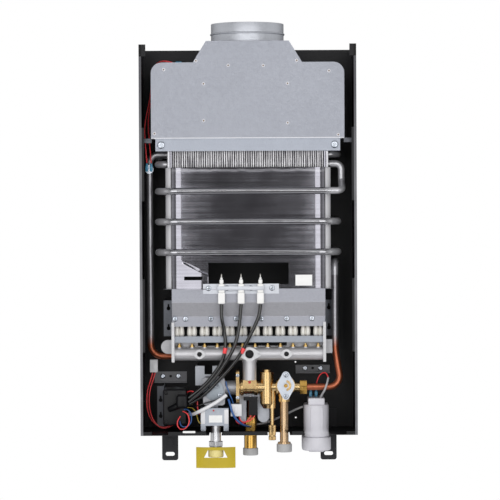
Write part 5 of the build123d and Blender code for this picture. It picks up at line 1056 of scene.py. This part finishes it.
bm = bmesh.new()
left, right, back, front, low, high = BOX
lid_back = front - BOX_LID_T
body_front = lid_back - SEAM_W
add_block(bm, (left, right, back, body_front, low, high), BOX_EDGE, segments=3)
add_block(bm, (left, right, lid_back, front, low, high), BOX_EDGE, segments=3)
add_block(bm, (left + SEAM_IN, right - SEAM_IN, body_front - SEAM_LAP, lid_back + SEAM_LAP, low + SEAM_IN,
               high - SEAM_IN), edge=0.2, segments=1)
add_block(bm, BOOT, edge=4, segments=4)
start, end = (spot(*where) for where in BUNDLE)
length = (end - start).length / MM
turned(bm, [(0, 0), (5.6, 0), (6.2, 1), (4.6, length - 1), (4, length), (0, length)], start,
       along(start, end), steps=24)
piece("control_case", bm, black_mould, "heater", "black_plastic", "control_box")
screw_set("control_screws", black_mould, "black_plastic", BOX_SCREWS)


# Battery box: a light grey moulded tube for two large cells with ribs down its front and a crest for its
# terminals, and a push-on lid with a grip step under the case.
BATTERY_SPOT = (109.8, 75.5)
BATTERY_SIZE = (40.6, 75)
BATTERY_Z = (36.4, 89)
CREST = (27, 60, 88, 100)
RIB_XS = (-9, 0, 9)
RIB_W = 2
RIB_D = (105.5, 112.1)
RIB_Z = (45.4, 85)
LID_OUT = 3.2
LID_Z = (14.5, 36.4)
GRIP = (24.5, 24.5, 10.6, 15.5)


def stadium(bm, grow, z0, z1, edge):
    """An upright rounded block on the battery box's plan."""
    wide, long = (v + 2 * grow for v in BATTERY_SIZE)
    size = (wide, long, z1 - z0)
    rounded_plate(bm, spot(*BATTERY_SPOT, z0), size, wide / 2 - 0.1, edge=edge, direction=UP)


def middle_block(bm, wide, long, z0, z1, edge):
    """An upright block about the battery box's middle."""
    x, d = BATTERY_SPOT
    add_block(bm, (*about(x, wide), *about(d, long), z0, z1), edge, segments=3)


grey_box = moulded("grey_box", paint(202, 201, 207), paint(222, 221, 227), rough=0.36)
bm = bmesh.new()
stadium(bm, 0, *BATTERY_Z, edge=2.4)
middle_block(bm, *CREST, edge=2)
for step in RIB_XS:
    add_block(bm, (*about(BATTERY_SPOT[0] + step, RIB_W), *RIB_D, *RIB_Z), edge=0.6)
piece("battery_tube", bm, grey_box, "heater", "white_plastic", "battery_housing")
bm = bmesh.new()
stadium(bm, LID_OUT, *LID_Z, edge=2.2)
middle_block(bm, *GRIP, edge=1.4)
piece("battery_lid", bm, grey_box, "battery_cover", "white_plastic", "battery_cover")
dress(case_steel, "battery_cells")


# Terminals and plugs: blue insulated push-on terminals on the battery box and the thermostat, a blue block on
# the hood's shoulder, and white nylon plug housings with a latch.
TERMINALS = [(x, 72, 80, 100) for x in (101, 110)] + [(x, 101.145, 106.145, 470.5) for x in (-164.5, -157.5)]
TERMINAL_W = 5
TERMINAL_H = 13
FERRULE = ((1.2, 0), (1.9, 0.3), (1.9, 3.4), (1.5, 3.6), (1.5, 0))
FERRULE_H = 3.6
TAB_W = 4
TAB_T = 1
PLUGS = ((-30, -12, 108, 118, 72, 92), (-163, -150, 56, 68, 141, 162))
LATCH_W = 5
HOOD_PLUG = (-118, -107, 70, 90, 645.5, 650)
blue_sleeve = mottled("blue_sleeve", paint(46, 124, 164), paint(98, 172, 202), scale=200, Roughness=0.25,
                      Coat_Weight=0.3)
bm = bmesh.new()
for x, d0, d1, foot in TERMINALS:
    top = foot + TERMINAL_H
    middle = (d0 + d1) / 2
    add_block(bm, (*about(x, TERMINAL_W), d0, d1, foot + 1.5, top - 3), edge=1.3, segments=3)
    turned(bm, FERRULE, spot(x, middle, top - FERRULE_H), steps=20)
    add_block(bm, (*about(x, TAB_W), *about(middle, TAB_T), foot, foot + 2), edge=0.2, segments=1)
piece("push_terminals", bm, blue_sleeve, "heater", "blue_plastic", "blue_terminals")
bm = bmesh.new()
add_block(bm, HOOD_PLUG, edge=1.6, segments=3)
piece("hood_terminal", bm, blue_sleeve, "heater", "blue_plastic", "wire_connectors")
bm = bmesh.new()
for plug in PLUGS:
    x0, x1, d0, d1, z0, z1 = plug
    add_block(bm, plug, edge=0.8)
    rise = (z1 - z0) * 0.25
    add_block(bm, (*about((x0 + x1) / 2, LATCH_W), d1 - 0.5, d1 + 1.4, z0 + rise, z1 - rise), edge=0.5)
piece("plug_housings", bm, white_mould, "heater", "white_plastic", "wire_connectors")


# Leads and wires: black silicone ignition leads from the insulators to the boot, and thin coloured wires,
# sleeves and cables between the plugs, switches and boxes.
LEAD = 6.0
THIN = 2.0
CABLE = 3.6
SLEEVE = 6.0


def jacketed(name, colour, light, rough, coat=0.2):
    """A wire's jacket: even colour with faint scuffs."""
    material, shader, place = surface(name, Roughness=rough, Coat_Weight=coat, Coat_Roughness=0.05,
                                      Specular_IOR_Level=0.5 + coat / 2)
    link(shader, Base_Color=place.noise(260, 4).mix(colour, light))
    return material


black_silicone = jacketed("black_silicone", paint(6, 6, 7), paint(12, 12, 14), rough=0.08, coat=0.6)
red_jacket = jacketed("red_jacket", paint(246, 46, 56), paint(255, 92, 92), rough=0.35)
blue_jacket = jacketed("blue_jacket", paint(28, 72, 140), paint(60, 110, 172), rough=0.35)
yellow_jacket = jacketed("yellow_jacket", paint(206, 172, 52), paint(228, 200, 92), rough=0.35)
white_jacket = jacketed("white_jacket", paint(222, 222, 224), paint(238, 238, 240), rough=0.4)
grey_jacket = jacketed("grey_jacket", paint(160, 160, 162), paint(184, 184, 186), rough=0.4)
ROUTES = (
    ("lead_left", LEAD, black_silicone, 177, (
        (-43.6, 143.1, 255.2), (-44.6, 142.1, 236), (-39.6, 137.1, 214), (-37, 134, 188), (-42, 131, 163),
        (-59, 128, 138), (-76, 125, 119), (-97.8, 121, 103))),
    ("lead_middle", LEAD, black_silicone, 189, (
        (-12, 143.1, 255.2), (-14, 142.1, 232), (-17, 141.1, 208), (-23, 140, 187), (-34, 138, 166),
        (-51, 135, 141), (-71, 132, 119), (-97.8, 124, 96.5))),
    ("lead_right", LEAD, black_silicone, 209, (
        (19.2, 143.1, 255.2), (18.2, 142.1, 240), (10, 140.1, 220), (-1, 138, 198), (-10, 134, 180),
        (-23, 131, 160), (-43, 128, 138), (-66, 126, 114), (-83, 120, 100), (-97.8, 116, 92))),
    ("stat_wire_a", THIN, red_jacket, 232, (
        (-164.5, 103.6, 484.3), (-166.5, 99, 508), (-168.5, 97.5, 534), (-167, 88, 556), (-162, 68, 582),
        (-159, 46, 606), (-159, 37, 630), (-155, 45, 644), (-146, 60, 651.5), (-134.8, 75, 652.5),
        (-122.8, 83, 648.75))),
    ("stat_wire_b", THIN, red_jacket, 237, (
        (-157.5, 103.6, 484.3), (-159.5, 98, 508), (-162, 94, 534), (-163, 80, 556), (-160, 58, 582),
        (-159, 37, 606), (-159, 28, 630), (-155, 36, 644), (-146, 51, 651.5), (-134.8, 66, 652.5),
        (-122.8, 77, 648.75))),
    ("side_wire_a", THIN, red_jacket, 120, (
        (-158.5, 62, 140.2), (-162, 62, 128), (-167.5, 62, 112), (-169, 62, 92), (-167, 61, 74),
        (-160, 60, 59), (-147, 59, 50.5), (-134, 59, 50), (-127, 59, 55.8))),
    ("side_wire_b", THIN, red_jacket, 121, (
        (-154.5, 62, 140.2), (-158, 62, 128), (-163.5, 63, 112), (-165, 63, 92), (-163, 68, 76),
        (-157, 74, 61), (-147, 76, 50.5), (-133, 77, 50), (-124, 77, 55.8))),
    ("box_wire_red", THIN, red_jacket, 54, (
        (-101.2, 96, 110), (-96, 99, 113), (-89, 104, 111), (-85, 108, 103), (-84, 110, 93),
        (-84, 110, 83), (-80.3, 107, 75))),
    ("loop_red", THIN, red_jacket, 69, (
        (-108, 111.2, 80), (-102, 115, 79), (-97.5, 118, 71), (-97.5, 120, 60), (-104, 121, 52),
        (-112, 120, 51), (-117.5, 118, 58), (-116, 115, 67), (-112, 111.2, 72))),
    ("loop_blue", THIN, blue_jacket, 58, (
        (-106, 111.2, 84), (-99, 115, 83.5), (-94, 117, 76), (-93.5, 117, 64), (-99, 117.5, 56),
        (-106.5, 117, 54.8), (-112, 115, 57.5), (-113, 111.2, 64))),
    ("loop_yellow", THIN, yellow_jacket, 41, (
        (-101.2, 84, 84), (-94, 86, 85), (-87, 92, 78), (-84.5, 97, 69), (-83, 99, 62),
        (-79.3, 100, 59))),
    ("white_sleeve", SLEEVE, white_jacket, 98, (
        (-99, 88, 74), (-94, 106, 74), (-86.5, 123, 78), (-77, 130.5, 83), (-62, 131.5, 91),
        (-49, 129, 98.5), (-37, 123, 107))),
    ("sensor_wire", CABLE, blue_jacket, 84, (
        (-33.5, 119.5, 100), (-30.5, 123, 91), (-28, 124, 80), (-22, 123, 68), (-11, 116, 58),
        (-1, 100, 54), (2, 85.8, 53))),
    ("plug_wire_blue", THIN, blue_jacket, 40, (
        (-26, 113, 92.8), (-27, 117, 98), (-30, 119.5, 105), (-33, 119.5, 113), (-36.5, 119.5, 121),
        (-37.5, 119, 129))),
    ("plug_wire_red", THIN, red_jacket, 41, (
        (-22, 113, 71.2), (-22, 111.5, 64.5), (-18, 109, 59.5), (-10, 105.5, 59), (-2, 102.5, 63.5),
        (3, 101, 71.8))),
    ("plug_wire_low", THIN, red_jacket, 36, (
        (-16, 113, 71.2), (-15, 112, 65), (-10, 109.5, 61.5), (-2, 106.5, 62.5), (5, 104.5, 66),
        (9, 103.5, 71.8))),
    ("battery_wire", THIN, red_jacket, 54, (
        (110, 76, 113.8), (110.5, 80, 123), (114, 85, 134), (120, 91, 141), (127, 99, 141),
        (129, 107, 134))),
    ("battery_sleeve", CABLE, grey_jacket, 43, (
        (129, 107.7, 133), (127, 116, 125), (123, 117, 114), (119, 109, 107), (117, 101, 101.8))),
    ("battery_cable", CABLE, grey_jacket, 87, (
        (88.3, 75.5, 84), (78, 70, 80), (62, 62, 71), (45, 58, 63), (28, 60, 56), (13.2, 70, 55))),
    ("black_wire", THIN, black_silicone, 66, (
        (-101.2, 104, 88), (-93, 112, 87), (-83, 121.5, 90), (-66, 123, 96), (-52, 122.5, 99),
        (-45, 119.5, 103))),
)


def lay_wire(name, thick, material, route):
    """A smooth curve that follows the route's points from one holder to the other."""
    curve = bpy.data.curves.new(name, "CURVE")
    curve.dimensions = "3D"
    spline = curve.splines.new("NURBS")
    spline.points.add(len(route) - 1)
    for point, where in zip(spline.points, route):
        point.co = (*spot(*where), 1)
    spline.order_u = 3
    spline.use_endpoint_u = True
    spline.resolution_u = 10
    curve.bevel_depth = thick / 2 * MM
    curve.bevel_resolution = 4
    curve.use_fill_caps = True
    curve.materials.append(material)
    made = bpy.data.objects.new(name, curve)
    scene.collection.objects.link(made)
    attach(made, "heater")
    return made


for name, thick, material, length, route in ROUTES:
    made = lay_wire(name, thick, material, route)
    "black_rubber" if thick == LEAD and material is black_silicone else "wire_jacket"
    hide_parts("ignition_leads" if name.startswith("lead_") else "harness_wires")
    spot(*route[0])
    length * MM
    thick * MM


# Tracer bands: short red rings on two of the black leads, about half way down. Each leans along the stretch
# of its lead that it sits on.
TRACED = (((-37, 134, 188), (-42, 131, 163), 0.32), ((-1, 138, 198), (-10, 134, 180), 1.0))
BAND_EDGE = LEAD / 2 + 0.25
BAND_R = LEAD / 2 + 0.4
BAND = ((BAND_EDGE, -4.6), (BAND_R, -4.2), (BAND_R, 4.2), (BAND_EDGE, 4.6))
bm = bmesh.new()
for high, low, share in TRACED:
    start, end = spot(*high), spot(*low)
    turned(bm, BAND, start.lerp(end, share), along(start, end), steps=24)
piece("tracer_bands", bm, red_jacket, "heater", "wire_jacket")
